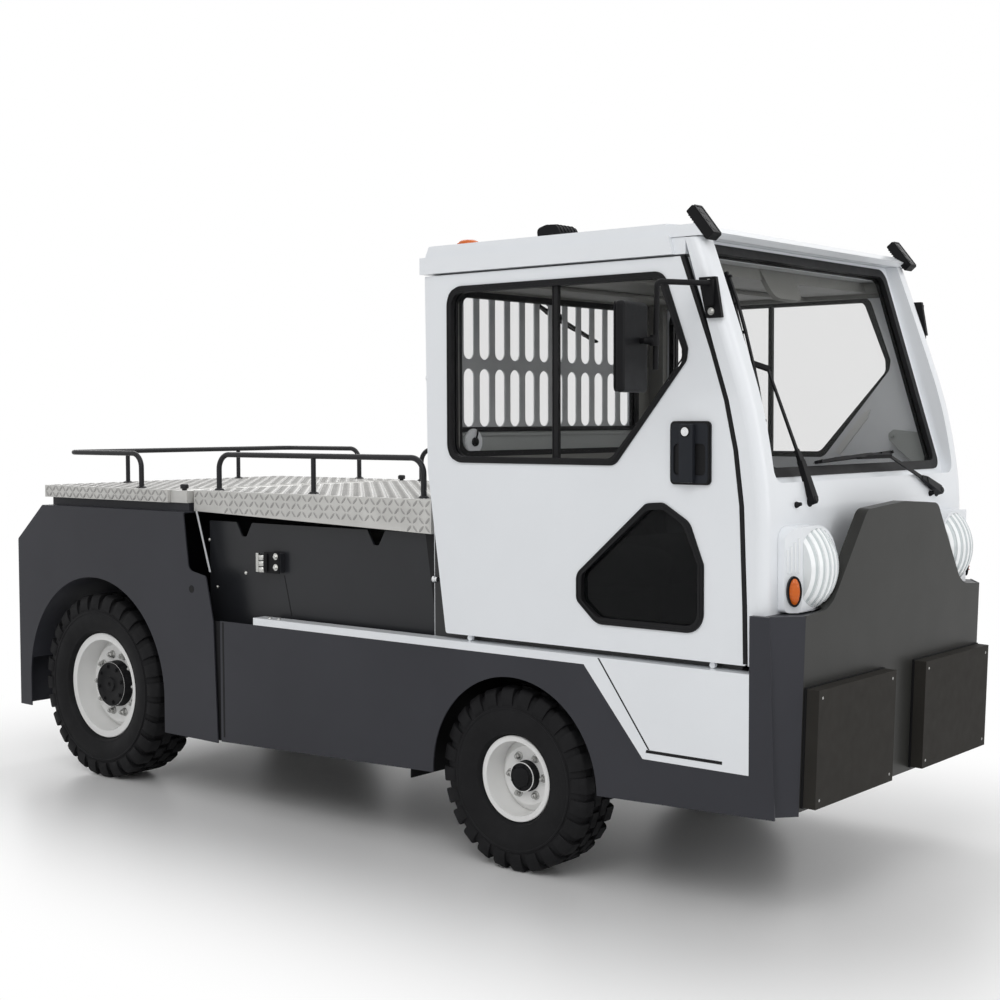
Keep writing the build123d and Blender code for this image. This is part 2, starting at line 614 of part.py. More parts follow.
def rear_deck():
    """Tread-plate tray upside down over the rear, and the fixed strip between it and the lid."""
    h = REAR_DECK_HALF_WIDTH
    rear = REAR_DECK_REAR
    front = REAR_DECK_FRONT
    wall = DECK_PLATE
    under = DECK_TOP - REAR_DECK_EDGE
    deck = block(rear, front, -h, h, under, DECK_TOP)
    deck -= block(rear + wall, front - wall, -h + wall, h - wall, under - 1, DECK_TOP - wall)
    strip = block(front + 1, LID_REAR - 12, -h + 14, h - 14, under, DECK_TOP - 2)
    for x in (rear + 40, front - 40):
        deck += block(x, x + 20, -h / 2, h / 2, FENDER_TOP + FIT_GAP, DECK_TOP - wall + 1)
    for y in HINGE_SIDES:
        for s in (-1, 1):
            y0, y1 = sorted((y + s * (HINGE_HALF + 1), y + s * (HINGE_HALF + 13)))
            strip += rod_y(HINGE_STATION, HINGE_HEIGHT, HINGE_RADIUS, y0, y1)
            strip += block(LID_REAR - 13, HINGE_STATION, y0, y1, HINGE_HEIGHT - 4, HINGE_HEIGHT + 2)
        strip += rod_y(HINGE_STATION, HINGE_HEIGHT, HINGE_PIN_RADIUS, y - HINGE_HALF - 2, y + HINGE_HALF + 2)
    return [deck, strip]


def rear_rail():
    side, low = REAR_RAIL_HALF_WIDTH, DECK_TOP + FIT_GAP
    leg, back = REAR_DECK_FRONT - 211, REAR_DECK_REAR + 107
    rail = bent_tube([
        (leg, -side, low), (leg, -side, RAIL_TOP), (back, -side, RAIL_TOP), (back, side, RAIL_TOP),
        (leg, side, RAIL_TOP), (leg, side, low),
    ], RAIL_TUBE_RADIUS, RAIL_BEND)
    for y in (-REAR_RAIL_POST_SIDE, REAR_RAIL_POST_SIDE):
        rail += rod_z(back, y, RAIL_TUBE_RADIUS - 1, low, RAIL_TOP)
    return rail


def deck_lid():
    """Lid over the battery: plate with side flanges that grow deeper towards the cab."""
    h = LID_HALF_WIDTH
    lid = side_plate([
        (LID_REAR, DECK_TOP - LID_EDGE_REAR, 0), (LID_FRONT, DECK_TOP - LID_EDGE_FRONT, 0),
        (LID_FRONT, DECK_TOP, 0), (LID_REAR, DECK_TOP, 0),
    ], -h, h)
    wall = DECK_PLATE
    low = DECK_TOP - LID_EDGE_FRONT - 1
    lid -= block(LID_REAR + wall, LID_FRONT - wall, -h + wall, h - wall, low, DECK_TOP - wall)
    x, z = HINGE_STATION, HINGE_HEIGHT
    for side in HINGE_SIDES:
        y0, y1 = side - HINGE_HALF, side + HINGE_HALF
        lid += rod_y(x, z, HINGE_RADIUS, y0, y1)
        lid += block(x, LID_REAR + 1, y0, y1, z - 4, z + 2)
        lid -= rod_y(x, z, HINGE_PIN_RADIUS + FIT_GAP, y0 - 1, y1 + 1)
    return lid


def lid_rails():
    side, low = LID_RAIL_HALF_WIDTH, DECK_TOP + FIT_GAP
    rear, front = LID_REAR + 95, LID_FRONT - 72
    rail = bent_tube([
        (rear, -side, low), (rear, -side, RAIL_TOP), (front, -side, RAIL_TOP), (front, -side, low),
    ], RAIL_TUBE_RADIUS, RAIL_BEND)
    rail += rod_z((rear + front) / 2 - 10, -side, RAIL_TUBE_RADIUS - 1, low, RAIL_TOP)
    return both_sides(rail)


# Battery

def battery_tray():
    h = BATTERY_HALF_WIDTH
    tray = block(BATTERY_REAR, BATTERY_FRONT, -h, h, BATTERY_BOTTOM, BATTERY_TOP)
    w = BATTERY_WALL
    tray -= block(BATTERY_REAR + w, BATTERY_FRONT - w, -h + w, h - w, BATTERY_BOTTOM + w, BATTERY_TOP + 1)
    half = LIFT_NOTCH_WIDTH / 2
    top = BATTERY_TOP + 1
    foot = BATTERY_TOP - LIFT_NOTCH_DEPTH
    for x in LIFT_NOTCH_STATIONS:
        notch = [(x - half, top, 0), (x - 12, foot, 10), (x + 12, foot, 10), (x + half, top, 0)]
        tray -= side_plate(notch, -h - 1, h + 1)
    catch = lid_catch()
    return tray + catch + other_side(catch)


def lid_catch():
    """Right catch on the battery's side, with a roller at its rear end."""
    x = CATCH_STATION
    y0 = -LID_HALF_WIDTH
    y1 = -BATTERY_HALF_WIDTH + 1
    low = CATCH_TOP - CATCH_HEIGHT
    plate = block(x + 19, x + CATCH_LENGTH, y0 + 6, y1, low, CATCH_TOP)
    return plate + rod_z(x + 19, (y0 + y1) / 2, (y1 - y0) / 2, low - 5, CATCH_TOP - 7)


def battery_block():
    w = BATTERY_WALL + FIT_GAP
    h = BATTERY_HALF_WIDTH - w
    top = BATTERY_TOP - LIFT_NOTCH_DEPTH - 20
    return block(BATTERY_REAR + w, BATTERY_FRONT - w, -h, h, BATTERY_BOTTOM + w, top)


# Front end

def on_front_plate(shape):
    """Leans a shape that was drawn upright on x = 0 and sets it at the front plate's face."""
    z = PLATE_SHOULDER
    return Pos(PLATE_TOP_STATION, 0, z) * Rot(0, PLATE_LEAN, 0) * Pos(0, 0, -z) * shape


def front_plate_face():
    """Outline of the front plate with its hump between the headlights, in (y, z)."""
    w = PLATE_HALF_WIDTH
    top = PLATE_SHOULDER + HUMP_HEIGHT
    hump = [(w, PLATE_SHOULDER, 10), (w - 144, PLATE_SHOULDER + 10, 110), (w - 346, top - 14, 50)]
    rows = [(-w, PLATE_BOTTOM, 4), (w, PLATE_BOTTOM, 4)]
    rows += hump + [(0, top, 0)] + [(-y, z, r) for y, z, r in reversed(hump)]
    return outline(rows)


def front_plate():
    """Leaning front plate; the hump has a flange turned back from its edge."""
    face = front_plate_face()
    plate = extrude(Plane.YZ.offset(-PLATE_THICKNESS) * face, PLATE_THICKNESS)
    flange = extrude(Plane.YZ.offset(-PLATE_FLANGE) * face, PLATE_FLANGE - 1)
    flange -= extrude(Plane.YZ.offset(-PLATE_FLANGE - 1) * offset(face, -SHEET), PLATE_FLANGE + 1)
    flange -= block(-PLATE_FLANGE - 20, 1, -BODY_HALF_WIDTH, BODY_HALF_WIDTH, 0, PLATE_SHOULDER + 12)
    return on_front_plate(plate + flange)


def behind_hump():
    """The room that the hump and its flange take up, with a clearance round it."""
    return on_front_plate(extrude(Plane.YZ.offset(-PLATE_FLANGE - 3) * offset(front_plate_face(), 3), 60))


def push_pads():
    outer = -PLATE_HALF_WIDTH + 9
    pad = block(FIT_GAP, PAD_THICKNESS, outer, outer + 473, PLATE_BOTTOM + 13, PLATE_BOTTOM + 347)
    return both_sides(on_front_plate(pad))


def headlight_housing():
    """Right housing: round towards the hump, flat on the outside, chamfered to seat the side lamp."""
    x0 = NOSE_FRONT + FIT_GAP
    x1 = NOSE_FRONT + HEADLIGHT_HOUSING
    y = -HEADLIGHT_SIDE
    z = HEADLIGHT_HEIGHT
    r = HEADLIGHT_RADIUS
    chamfered = floor_plate([
        (x0, y - r, 0), (x1 - HEADLIGHT_CHAMFER, y - r, 0), (x1, y - r + HEADLIGHT_CHAMFER, 0),
        (x1, y + r, 0), (x0, y + r, 0),
    ], z - r, z + r)
    outer = front_plate_slab([(y - r, z - r, 12), (y, z - r, 0), (y, z + r, 0), (y - r, z + r, 40)], x0, x1)
    bore = rod_x(y, z, r - 8, x0 + 12, x1 + 1)
    bore -= block(x0, x1 + 2, y - r, y - LENS_OUTER - FIT_GAP, z - r, z + r)
    housing = (outer + rod_x(y, z, r, x0, x1)) & chamfered
    return housing - bore - behind_hump()


def headlight_lens():
    """Domed lens with upright flutes, cut flat on its outside: slices of two domes, one a little smaller."""
    base = HEADLIGHT_RADIUS - 8 - FIT_GAP
    x0 = NOSE_FRONT + 12 + 2 * FIT_GAP
    x1 = NOSE_FRONT + HEADLIGHT_HOUSING
    keep = block(x0 - x1, 200, -LENS_OUTER, 200, -200, 200)
    high = dome(base, HEADLIGHT_DOME)
    lens = (dome(base - 3, HEADLIGHT_DOME - 4) + rod_x(0, 0, base, x0 - x1, 1)) & keep
    pitch = (base + LENS_OUTER) / (2 * HEADLIGHT_FLUTES + 1)
    for i in range(HEADLIGHT_FLUTES + 1):
        y = -LENS_OUTER + 2 * i * pitch
        lens += high & block(-0.5, 200, y, y + pitch, -200, 200)
    return Pos(x1, -HEADLIGHT_SIDE, HEADLIGHT_HEIGHT) * lens - behind_hump()


def dome(radius, height):
    """Cap of a sphere on the plane x = 0, bulging forward."""
    sphere = (radius ** 2 + height ** 2) / (2 * height)
    half = math.asin(radius / sphere) / 2
    middle = (height - sphere + sphere * math.cos(half), sphere * math.sin(half))
    arc = ThreePointArc((0, radius), middle, (height, 0)).edges()
    back = Polyline((height, 0), (0, 0), (0, radius)).edges()
    return revolve(make_face(arc + back), axis=Axis.X)


def marker_lamp():
    """Right amber side lamp: an upright oval on the housing's chamfer."""
    oval = extrude(Plane.YZ.offset(FIT_GAP) * Ellipse(17, 38), 14)
    x = NOSE_FRONT + HEADLIGHT_HOUSING - HEADLIGHT_CHAMFER / 2
    y = -HEADLIGHT_SIDE - HEADLIGHT_RADIUS + HEADLIGHT_CHAMFER / 2
    return Pos(x, y, HEADLIGHT_HEIGHT - 59) * Rot(0, 0, -45) * oval


# Cab

def cab_side_face(inset):
    """Side view of the cab body drawn in by the inset: upright nose, then pillars that curve back."""
    nose = NOSE_FRONT - inset
    head = (HEADER_STATION - inset, HEADER_TOP)
    rear = CAB_REAR + inset
    low = CAB_FLOOR + inset
    back = [head, (rear, HEADER_TOP), (rear, low), (nose, low), (nose, NOSE_TOP)]
    ahead = PILLAR_AHEAD - inset
    curve = [(nose, NOSE_TOP)] + [(x + ahead, z) for x, z in seam_rows(0)[3:-1]] + [head]
    return make_face(Polyline(*back).edges() + Spline(*curve, tangents=((0, 1), (-0.35, 0.94))).edges())


def seam_rows(shift):
    """The slanted seam between the door and the front of the cab, from the sill to the eaves."""
    x = NOSE_FRONT + shift
    rise = SEAM_HEAD - SEAM_BEND
    seam = [(x - 60, CAB_FLOOR), (x - 63, CAB_FLOOR + 200)]
    return seam + [(x - behind, SEAM_BEND + share * rise) for behind, share in SEAM_CURVE]


def seam_station(height):
    """Station of the seam at a height above its bend."""
    low, high = [row for row in zip(seam_rows(0), seam_rows(0)[1:]) if row[1][1] >= height][0]
    return low[0] + (high[0] - low[0]) * (height - low[1]) / (high[1] - low[1])


def ahead_of_seam(z0, z1, shift):
    """All that lies ahead of the shifted seam, from side to side."""
    seam = seam_rows(shift)
    ahead = NOSE_FRONT + 264
    rows = [(seam[0][0], z0, 0)] + [(x, z, 0) for x, z in seam[1:-1]]
    rows += [(seam[-1][0], z1, 0), (ahead, z1, 0), (ahead, z0, 0)]
    return side_plate(rows, -BODY_HALF_WIDTH, BODY_HALF_WIDTH)


def cab_solid(half_width, inset, corner):
    """Cab body with rounded front corners, drawn in by the inset."""
    body = extrude(Plane.XZ.offset(-half_width) * cab_side_face(inset), 2 * half_width)
    front = [e for e in body.edges() if e.center().X > HEADER_STATION]
    front = [e for e in front if abs(abs(e.center().Y) - half_width) < 1]
    front = [e for e in front if CAB_FLOOR + 60 < e.center().Z < HEADER_TOP - 20]
    return fillet(front, corner)


def cab_front():
    """Nose, windscreen surround and pillars in one panel, cut off at the door seams."""
    room = cab_solid(CAB_HALF_WIDTH - CAB_WALL, CAB_WALL, CAB_CORNER - CAB_WALL)
    half = CAB_HALF_WIDTH - 50
    room += block(CAB_REAR + CAB_WALL, HEADER_REAR, -half, half, HEADER_TOP - 60, HEADER_TOP + 10)
    high = SCREEN_HIGH + 150
    room -= on_screen(block(-CAB_WALL, 400, -BODY_HALF_WIDTH, BODY_HALF_WIDTH, 0, high))
    shell = cab_solid(CAB_HALF_WIDTH, 0, CAB_CORNER) - room
    shell = shell & ahead_of_seam(NOSE_BOTTOM, HEADER_TOP - FIT_GAP, DOOR_TO_SEAM)
    half = SCREEN_HALF_WIDTH + SCREEN_RECESS
    low = SCREEN_LOW - SCREEN_RECESS
    recess = front_plate_slab([(-half, low, 40), (half, low, 40), (half, high, 0), (-half, high, 0)], 0, 200)
    return shell - on_screen(recess) - windscreen_prism()


def on_screen(shape):
    """Leans a shape that was drawn upright on x = 0, z = 0 at the windscreen's foot."""
    lean = math.degrees(math.atan2(SCREEN_SLOPE, CAB_EAVES - SCREEN_FOOT))
    return Pos(SCREEN_FOOT_STATION, 0, SCREEN_FOOT) * Rot(0, -lean, 0) * shape


def screen_rows(inset):
    w = SCREEN_HALF_WIDTH - inset
    low = SCREEN_LOW + inset
    high = SCREEN_HIGH - inset
    r = 42 - inset / 2
    return [(-w, low, r), (w, low, r), (w, high, r), (-w, high, r)]


def windscreen_prism():
    return on_screen(front_plate_slab(screen_rows(0), -80, 40))


def windscreen():
    return on_screen(front_plate_slab(screen_rows(SCREEN_SEAL / 2), -16, -16 + GLASS))


def windscreen_seal():
    ring = front_plate_slab(screen_rows(FIT_GAP), -CAB_WALL, SEAL_PROUD)
    ring -= front_plate_slab(screen_rows(SCREEN_SEAL), -CAB_WALL - 1, SEAL_PROUD + 1)
    groove = front_plate_slab(screen_rows(SCREEN_SEAL / 2 - FIT_GAP), -16 - FIT_GAP, -16 + GLASS + FIT_GAP)
    return on_screen(ring - groove)


def bar(a, b, width, thickness):
    """Straight bar from one point to another, its width across the windscreen's slope."""
    along = Vector(*b) - Vector(*a)
    start = Plane(origin=a, x_dir=Vector(1, 0, 0).cross(along), z_dir=along)
    return extrude(start * Rectangle(width, thickness), along.length)


def wipers():
    """Each wiper: a spindle seated on the nose, a tapered arm and its blade."""
    nose = cab_solid(CAB_HALF_WIDTH, -FIT_GAP, CAB_CORNER)
    pieces = []
    for rows in WIPERS:
        pivot, end, foot, head = [(x, y * SCREEN_HALF_WIDTH, z * SCREEN_HIGH) for x, y, z in rows]
        knee = tuple(a + 0.3 * (b - a) for a, b in zip(pivot, end))
        middle = tuple((a + b) / 2 for a, b in zip(foot, head))
        spindle = on_screen(rod_x(pivot[1], pivot[2], 16, pivot[0] - 60, pivot[0] + 10)) - nose
        arm = bar(pivot, knee, 24, 16) + bar(knee, end, 12, 9) + Pos(*knee) * Sphere(9)
        blade = bar(foot, head, 9, 12) + bar(middle, end, 14, 10) + Pos(*end) * Sphere(8)
        pieces.append(spindle + on_screen(arm + blade))
    return pieces


def rear_window_rows(inset):
    w = REAR_WINDOW_HALF_WIDTH - inset
    low = REAR_WINDOW_BOTTOM + inset
    high = REAR_WINDOW_TOP - inset
    r = REAR_WINDOW_CORNER - inset / 2
    return [(-w, low, r), (w, low, r), (w, high, r), (-w, high, r)]


def cab_frame():
    """Inner cab structure: floor, rear wall with its window and the two doorways."""
    y = FRAME_OUTER
    wall = CAB_WALL
    low = CAB_FLOOR
    ahead = NOSE_FRONT + 100
    frame = block(CAB_REAR, NOSE_FRONT - 81, -y, y, low, CAB_EAVES - FIT_GAP)
    frame -= block(CAB_REAR + wall, ahead, -y + wall, y - wall, low + FLOOR_PLATE, CAB_EAVES - 36)
    frame -= ahead_of_seam(low - 100, CAB_EAVES + 110, -32)
    frame -= block(CAB_REAR + 90, ahead, -y - 1, y + 1, low + FLOOR_PLATE + 15, CAB_EAVES - 50)
    frame -= front_plate_slab(rear_window_rows(0), CAB_REAR - 1, CAB_REAR + wall + 1)
    return frame - windscreen_prism()


def rear_window():
    return front_plate_slab(rear_window_rows(SEAL_WIDTH / 2), CAB_REAR + 10, CAB_REAR + 10 + GLASS)


def rear_window_seal():
    ring = front_plate_slab(rear_window_rows(FIT_GAP), CAB_REAR - SEAL_PROUD, CAB_REAR + CAB_WALL)
    ring -= front_plate_slab(rear_window_rows(SEAL_WIDTH), CAB_REAR - 10, CAB_REAR + CAB_WALL + 1)
    x0 = CAB_REAR + 10 - FIT_GAP
    x1 = CAB_REAR + 10 + GLASS + FIT_GAP
    return ring - front_plate_slab(rear_window_rows(SEAL_WIDTH / 2 - FIT_GAP), x0, x1)


def rear_guard():
    """Slotted plate behind the rear window, on four stand-offs, clear of the lid below it."""
    x1 = CAB_REAR - GUARD_STAND_OFF
    x0 = x1 - GUARD_THICKNESS
    half = GUARD_HALF_WIDTH
    low = GUARD_BOTTOM
    top = GUARD_TOP
    guard = front_plate_slab([(-half, low, 12), (half, low, 12), (half, top, 12), (-half, top, 12)], x0, x1)
    w = GUARD_SLOT_WIDTH / 2
    r = w - 1
    for i in range(GUARD_SLOTS):
        y = (i - (GUARD_SLOTS - 1) / 2) * GUARD_SLOT_PITCH
        for z0, z1 in GUARD_ROWS:
            slot = [(y - w, z0, r), (y + w, z0, r), (y + w, z1, r), (y - w, z1, r)]
            guard -= front_plate_slab(slot, x0 - 1, x1 + 1)
    for y in (-half + 9, half - 9):
        for z in (low + 30, top - 32):
            guard += rod_x(y, z, 8, x1 - 1, CAB_REAR - FIT_GAP)
    return guard


def roof():
    """Roof panel with the stepped covers over the upper door rails and the two lamp brackets."""
    w = ROOF_HALF_WIDTH
    tip = ROOF_LIP_HALF_WIDTH
    front = HEADER_REAR - FIT_GAP
    lip = ROOF_LIP + 5
    taper = (RAIL_COVER_FRONT - 30, RAIL_COVER_FRONT + 20)
    cap = side_plate([
        (ROOF_REAR + 10, ROOF_STEP, 0), (ROOF_LIP - 20, ROOF_STEP, 0), (ROOF_LIP, ROOF_STEP + 14, 0),
        (ROOF_LIP - 40, ROOF_TOP - 6, 0), (ROOF_LIP - 140, ROOF_TOP, 0), (ROOF_REAR + 30, ROOF_TOP, 8),
    ], -w, w)
    cap = cap & floor_plate([
        (ROOF_REAR, -w, 0), (taper[0], -w, 0), (taper[1], -tip, 0), (lip, -tip, 0),
        (lip, tip, 0), (taper[1], tip, 0), (taper[0], w, 0), (ROOF_REAR, w, 0),
    ], ROOF_STEP - 5, ROOF_TOP + 5)
    low = CAB_EAVES + 2
    body = block(ROOF_REAR, front, -tip, tip, CAB_EAVES, ROOF_STEP + 1)
    body += block(RAIL_COVER_FRONT - 20, front, -w + 4, w - 4, low, ROOF_STEP + 1)
    body -= on_screen(block(-CAB_WALL - 3, 100, -tip + 2, tip - 2, SCREEN_HIGH - 146, SCREEN_HIGH + 14))
    cover = side_plate([
        (ROOF_REAR, low, 0), (RAIL_COVER_FRONT, low, 0), (RAIL_COVER_FRONT - 14, ROOF_STEP + 6, 0),
        (ROOF_REAR, ROOF_STEP + 6, 0),
    ], -RAIL_COVER_HALF_WIDTH, -tip + 1)
    back = lamp_face(-LAMP_THICKNESS - FIT_GAP)
    foot = back(20)
    head = back(LAMP_HEIGHT - 46)
    rear = RAIL_COVER_FRONT - 45
    low = ROOF_STEP + 2
    bracket = side_plate([
        (rear, low, 0), (foot[0], low, 0), (*foot, 0), (*head, 0), (rear, ROOF_TOP - 8, 0),
    ], -w, -tip + 1)
    return body + cap + cover + other_side(cover) + bracket + other_side(bracket)


def lamp_face(depth):
    """Point (x, z) up the leaning lamp's face, at a depth ahead of it."""
    lean = math.radians(LAMP_LEAN)

    def point(up):
        x = LAMP_FOOT_STATION - up * math.sin(lean) + depth * math.cos(lean)
        z = LAMP_FOOT + up * math.cos(lean) + depth * math.sin(lean)
        return x, z
    return point


def work_lamp():
    outer = -ROOF_LIP_HALF_WIDTH - 1 - LAMP_WIDTH
    lamp = block(-LAMP_THICKNESS, 0, outer, outer + LAMP_WIDTH, 0, LAMP_HEIGHT)
    lamp = fillet(lamp.edges().filter_by(Axis.Y), 4)
    return Pos(LAMP_FOOT_STATION, 0, LAMP_FOOT) * Rot(0, -LAMP_LEAN, 0) * lamp


def roof_fittings():
    low = ROOF_TOP + FIT_GAP
    side = ROOF_HALF_WIDTH - 168
    beacon = rod_z(CAB_REAR + 26, -side + 17, 42, low, ROOF_TOP + 38)
    vent = rod_z(CAB_REAR + 416, -side, 62, low, ROOF_TOP + 52)
    return fillet(beacon.edges().group_by(Axis.Z)[-1], 14), fillet(vent.edges().group_by(Axis.Z)[-1], 24)


# Doors

def door_rows():
    """Right door seen from outside, from the rear bottom corner round to the rear top."""
    x = CAB_REAR
    rows = [(x + 82, DOOR_BOTTOM, 8)]
    seam = seam_rows(0)
    rows += [(seam[0][0], DOOR_BOTTOM, 8)] + [(x, z, 0) for x, z in seam[1:-1]]
    rows += [
        (seam[-1][0] + 3, DOOR_TOP, 6), (x - 2, DOOR_TOP, 6), (x + 7, WINDOW_SILL - 26, 0),
        (x + 21, WINDOW_SILL - 123, 0),
    ]
    return rows


def upper_window_rows(inset):
    i = inset
    k = 0.7 * inset
    rear = CAB_REAR + 95
    front = NOSE_FRONT - 253
    low, high = WINDOW_SILL, WINDOW_HEAD
    rise = high - low
    return [
        (rear + i, low + i, 62 - i), (front - 255 - k, low + i, 40),
        (front - 4 - k, low + 0.54 * rise - i * 0.2, 30), (front - i, low + 0.602 * rise, 12),
        (front - 83 - i, high - i, 48 - i), (rear + i, high - i, 62 - i),
    ]


def lower_window_rows(inset):
    i = inset
    low = DOOR_BOTTOM + 77
    front = NOSE_FRONT - 198
    rear = front - 452
    return [
        (rear + 76 + i * 0.4, low + i, 60 - i), (front - i, low + i, 60 - i), (front - i, low + 198, 20),
        (front - 48 - i, low + 318 - i * 0.5, 50), (front - 138, low + 372 - i, 40),
        (front - 198 + i * 0.3, low + 368 - i, 30), (rear + i, low + 148, 40), (rear + i, low + 68, 30),
    ]


def door_panel():
    door = side_plate(door_rows(), -DOOR_OUTER, -DOOR_INNER)
    for rows in (upper_window_rows(0), lower_window_rows(0)):
        door -= side_plate(rows, -DOOR_OUTER - 1, -DOOR_INNER + 1)
    z = DOOR_RAIL_TOP + FIT_GAP + DOOR_ROLLER_RADIUS
    for x in (CAB_REAR + 176, NOSE_FRONT - 176):
        door += rod_y(x, z, DOOR_ROLLER_RADIUS, -DOOR_OUTER + 9, -DOOR_INNER - 9)
        door += block(x - 5, x + 5, -DOOR_OUTER + 9, -DOOR_INNER - 9, z, DOOR_BOTTOM + 2)
    return door


def window_seal(rows):
    """Rubber ring round a door window, grooved for its glass."""
    outer = -DOOR_OUTER - SEAL_PROUD
    glass = -DOOR_GLASS_OUTER
    ring = side_plate(rows(FIT_GAP), outer, -DOOR_INNER)
    ring -= side_plate(rows(SEAL_WIDTH), outer - 1, -DOOR_INNER + 1)
    return ring - side_plate(rows(SEAL_WIDTH / 2 - FIT_GAP), glass - FIT_GAP, glass + GLASS + FIT_GAP)


def door_handle():
    """Right door handle: a plate on the door with an upright grip."""
    x0, x1 = HANDLE_REAR, HANDLE_REAR + HANDLE_LENGTH
    z0, z1 = HANDLE_BOTTOM, HANDLE_BOTTOM + HANDLE_HEIGHT
    y = -DOOR_OUTER
    plate = side_plate([(x0, z0, 14), (x1, z0, 14), (x1, z1, 14), (x0, z1, 14)], y - 7, y - FIT_GAP)
    return plate + block(x0 + 53, x0 + 85, y - 24, y - 6, z0 + 13, z1 - 28)


def door_seals():
    return [window_seal(upper_window_rows), window_seal(lower_window_rows), door_handle()]


def door_glass():
    y = -DOOR_GLASS_OUTER
    return [side_plate(rows(SEAL_WIDTH / 2), y, y + GLASS) for rows in (upper_window_rows, lower_window_rows)]


# Outside fittings

def mirror_arm():
    """Right mirror: bracket on the pillar, bent tube and the head behind it."""
    y = -CAB_HALF_WIDTH - FIT_GAP
    low = CAB_EAVES - 184
    high = CAB_EAVES - 69
    foot = seam_station(low)
    head = seam_station(high)
    bracket = side_plate([
        (foot + 17, low, 3), (foot + 68, low, 3), (head + 90, high, 3), (head + 34, high, 3),
    ], y - 12, y)
    x = foot + 33
    z = high - 19
    bracket += block(x - 13, x + 13, y - 24, y - 11, z - 62, high - 9)
    arm = bent_tube([(x, y - 18, z), (x - 77, y - 166, z), (x - 80, y - 168, z - 242)], 8, 14)
    pivot = rod_x(y - 178, z - 162, 9, x - 127, x - 80)
    glass = fillet(block(-14, 14, -88, 88, -125, 125).edges(), 12)
    return bracket + arm + pivot + Pos(x - 130, y - 212, z - 180) * Rot(0, 0, 12) * glass


# Inside the cab

def seats():
    pieces = []
    x = CAB_REAR + 76
    z = SEAT_BASE_TOP
    half = SEAT_HALF_WIDTH
    for y in (-SEAT_SIDE, SEAT_SIDE):
        plinth = block(x + 110, x + 480, y - half + 50, y + half - 50, CAB_FLOOR + FLOOR_PLATE + FIT_GAP, z)
        cushion = fillet(block(x + 80, x + 540, y - half, y + half, z + FIT_GAP, z + 105).edges(), 28)
        back = fillet(block(x, x + 75, y - half + 10, y + half - 10, z + 100, z + 365).edges(), 28)
        stay = block(x + 12, x + 115, y - 60, y + 60, z - 35, z - 5)
        stay += block(x + 12, x + 32, y - 60, y + 60, z - 35, z + 155)
        pieces += [plinth + stay + back, cushion]
    return pieces


def dashboard():
    x = NOSE_FRONT - 68
    low = CAB_FLOOR + FLOOR_PLATE + FIT_GAP
    top = SCREEN_FOOT
    half = CAB_HALF_WIDTH - 110
    dash = side_plate([
        (x - 178, low, 0), (x, low, 0), (x, top - 45, 0), (x - 98, top, 30), (x - 208, top - 95, 30),
        (x - 138, top - 165, 0),
    ], -half, half)
    column = rod_z(0, 0, 28, -390, 0)
    return dash + Pos(COLUMN_STATION, COLUMN_SIDE, COLUMN_TOP) * Rot(0, COLUMN_LEAN - 90, 0) * column


def steering_wheel():
    ring = Torus(STEERING_WHEEL_RADIUS, 13)
    hub = rod_z(0, 0, 34, -4, 22)
    wheel = ring + hub
    for i in range(3):
        wheel += Rot(0, 0, 120 * i) * block(20, STEERING_WHEEL_RADIUS - 2, -12, 12, 0, 9)
    return Pos(COLUMN_STATION, COLUMN_SIDE, COLUMN_TOP) * Rot(0, COLUMN_LEAN - 90, 0) * Pos(0, 0, 5) * wheel


# Assembly: rows of (node, solid or list of solids)

def all_nodes():
    rear_rubber, rear_metal = rear_wheels()
    front_rubber, front_metal = front_wheels()
    beacon, vent = roof_fittings()
    right_knuckle = knuckle()
    right_door = door_panel()
    right_seals = door_seals()
    right_glass = door_glass()
    rows = [
        ("chassis_frame", chassis_frame()),
        ("splash_plates", [plate for right in splash_plates() for plate in both_sides(right)]),
        ("side_skirts", both_sides(skirt())),
        ("door_rails", both_sides(door_rail())),
        ("rear_fenders", both_sides(rear_fender())),
        ("rear_panel", rear_panel()),
        ("tow_hitch", tow_hitch()),
        ("rear_lamps", rear_lamps()),
        ("rear_deck", rear_deck()),
        ("rear_rail", rear_rail()),
        ("battery_tray", battery_tray()),
        ("battery_block", battery_block()),
        ("front_plate", front_plate()),
        ("push_pads", push_pads()),
        ("cab_frame", cab_frame()),
        ("cab_front", cab_front()),
        ("roof", roof()),
        ("cab_glass", [windscreen(), rear_window()]),
        ("window_seals", [windscreen_seal(), rear_window_seal()]),
        ("wipers", wipers()),
        ("rear_guard", rear_guard()),
        ("headlight_housings", both_sides(headlight_housing())),
        ("headlight_lenses", both_sides(headlight_lens())),
        ("marker_lamps", both_sides(marker_lamp())),
        ("work_lamps", both_sides(work_lamp())),
        ("beacon", beacon),
        ("roof_vent", vent),
        ("mirrors", both_sides(mirror_arm())),
        ("seats", seats()),
        ("dashboard", dashboard()),
        ("front_axle", front_axle()),
        ("rear_axle", rear_axle()),
        ("deck_lid", deck_lid()),
        ("lid_rails", lid_rails()),
        ("steering_wheel", steering_wheel()),
        ("steering_rod", steering_rod()),
    ]
    handed = [
        ("door", [right_door]), ("door_seals", right_seals), ("door_glass", right_glass),
        ("knuckle", [right_knuckle]), ("rear_tyre", [rear_rubber]), ("rear_rim", [rear_metal]),
        ("front_tyre", [front_rubber]), ("front_rim", [front_metal]),
    ]
    for name, pieces in handed:
        rows.append((name + "_right", pieces))
        rows.append((name + "_left", [other_side(piece) for piece in pieces]))
    return rows


def as_solids(shape):
    pieces = shape if isinstance(shape, list) else [shape]
    return [solid for piece in pieces for solid in piece.solids()]


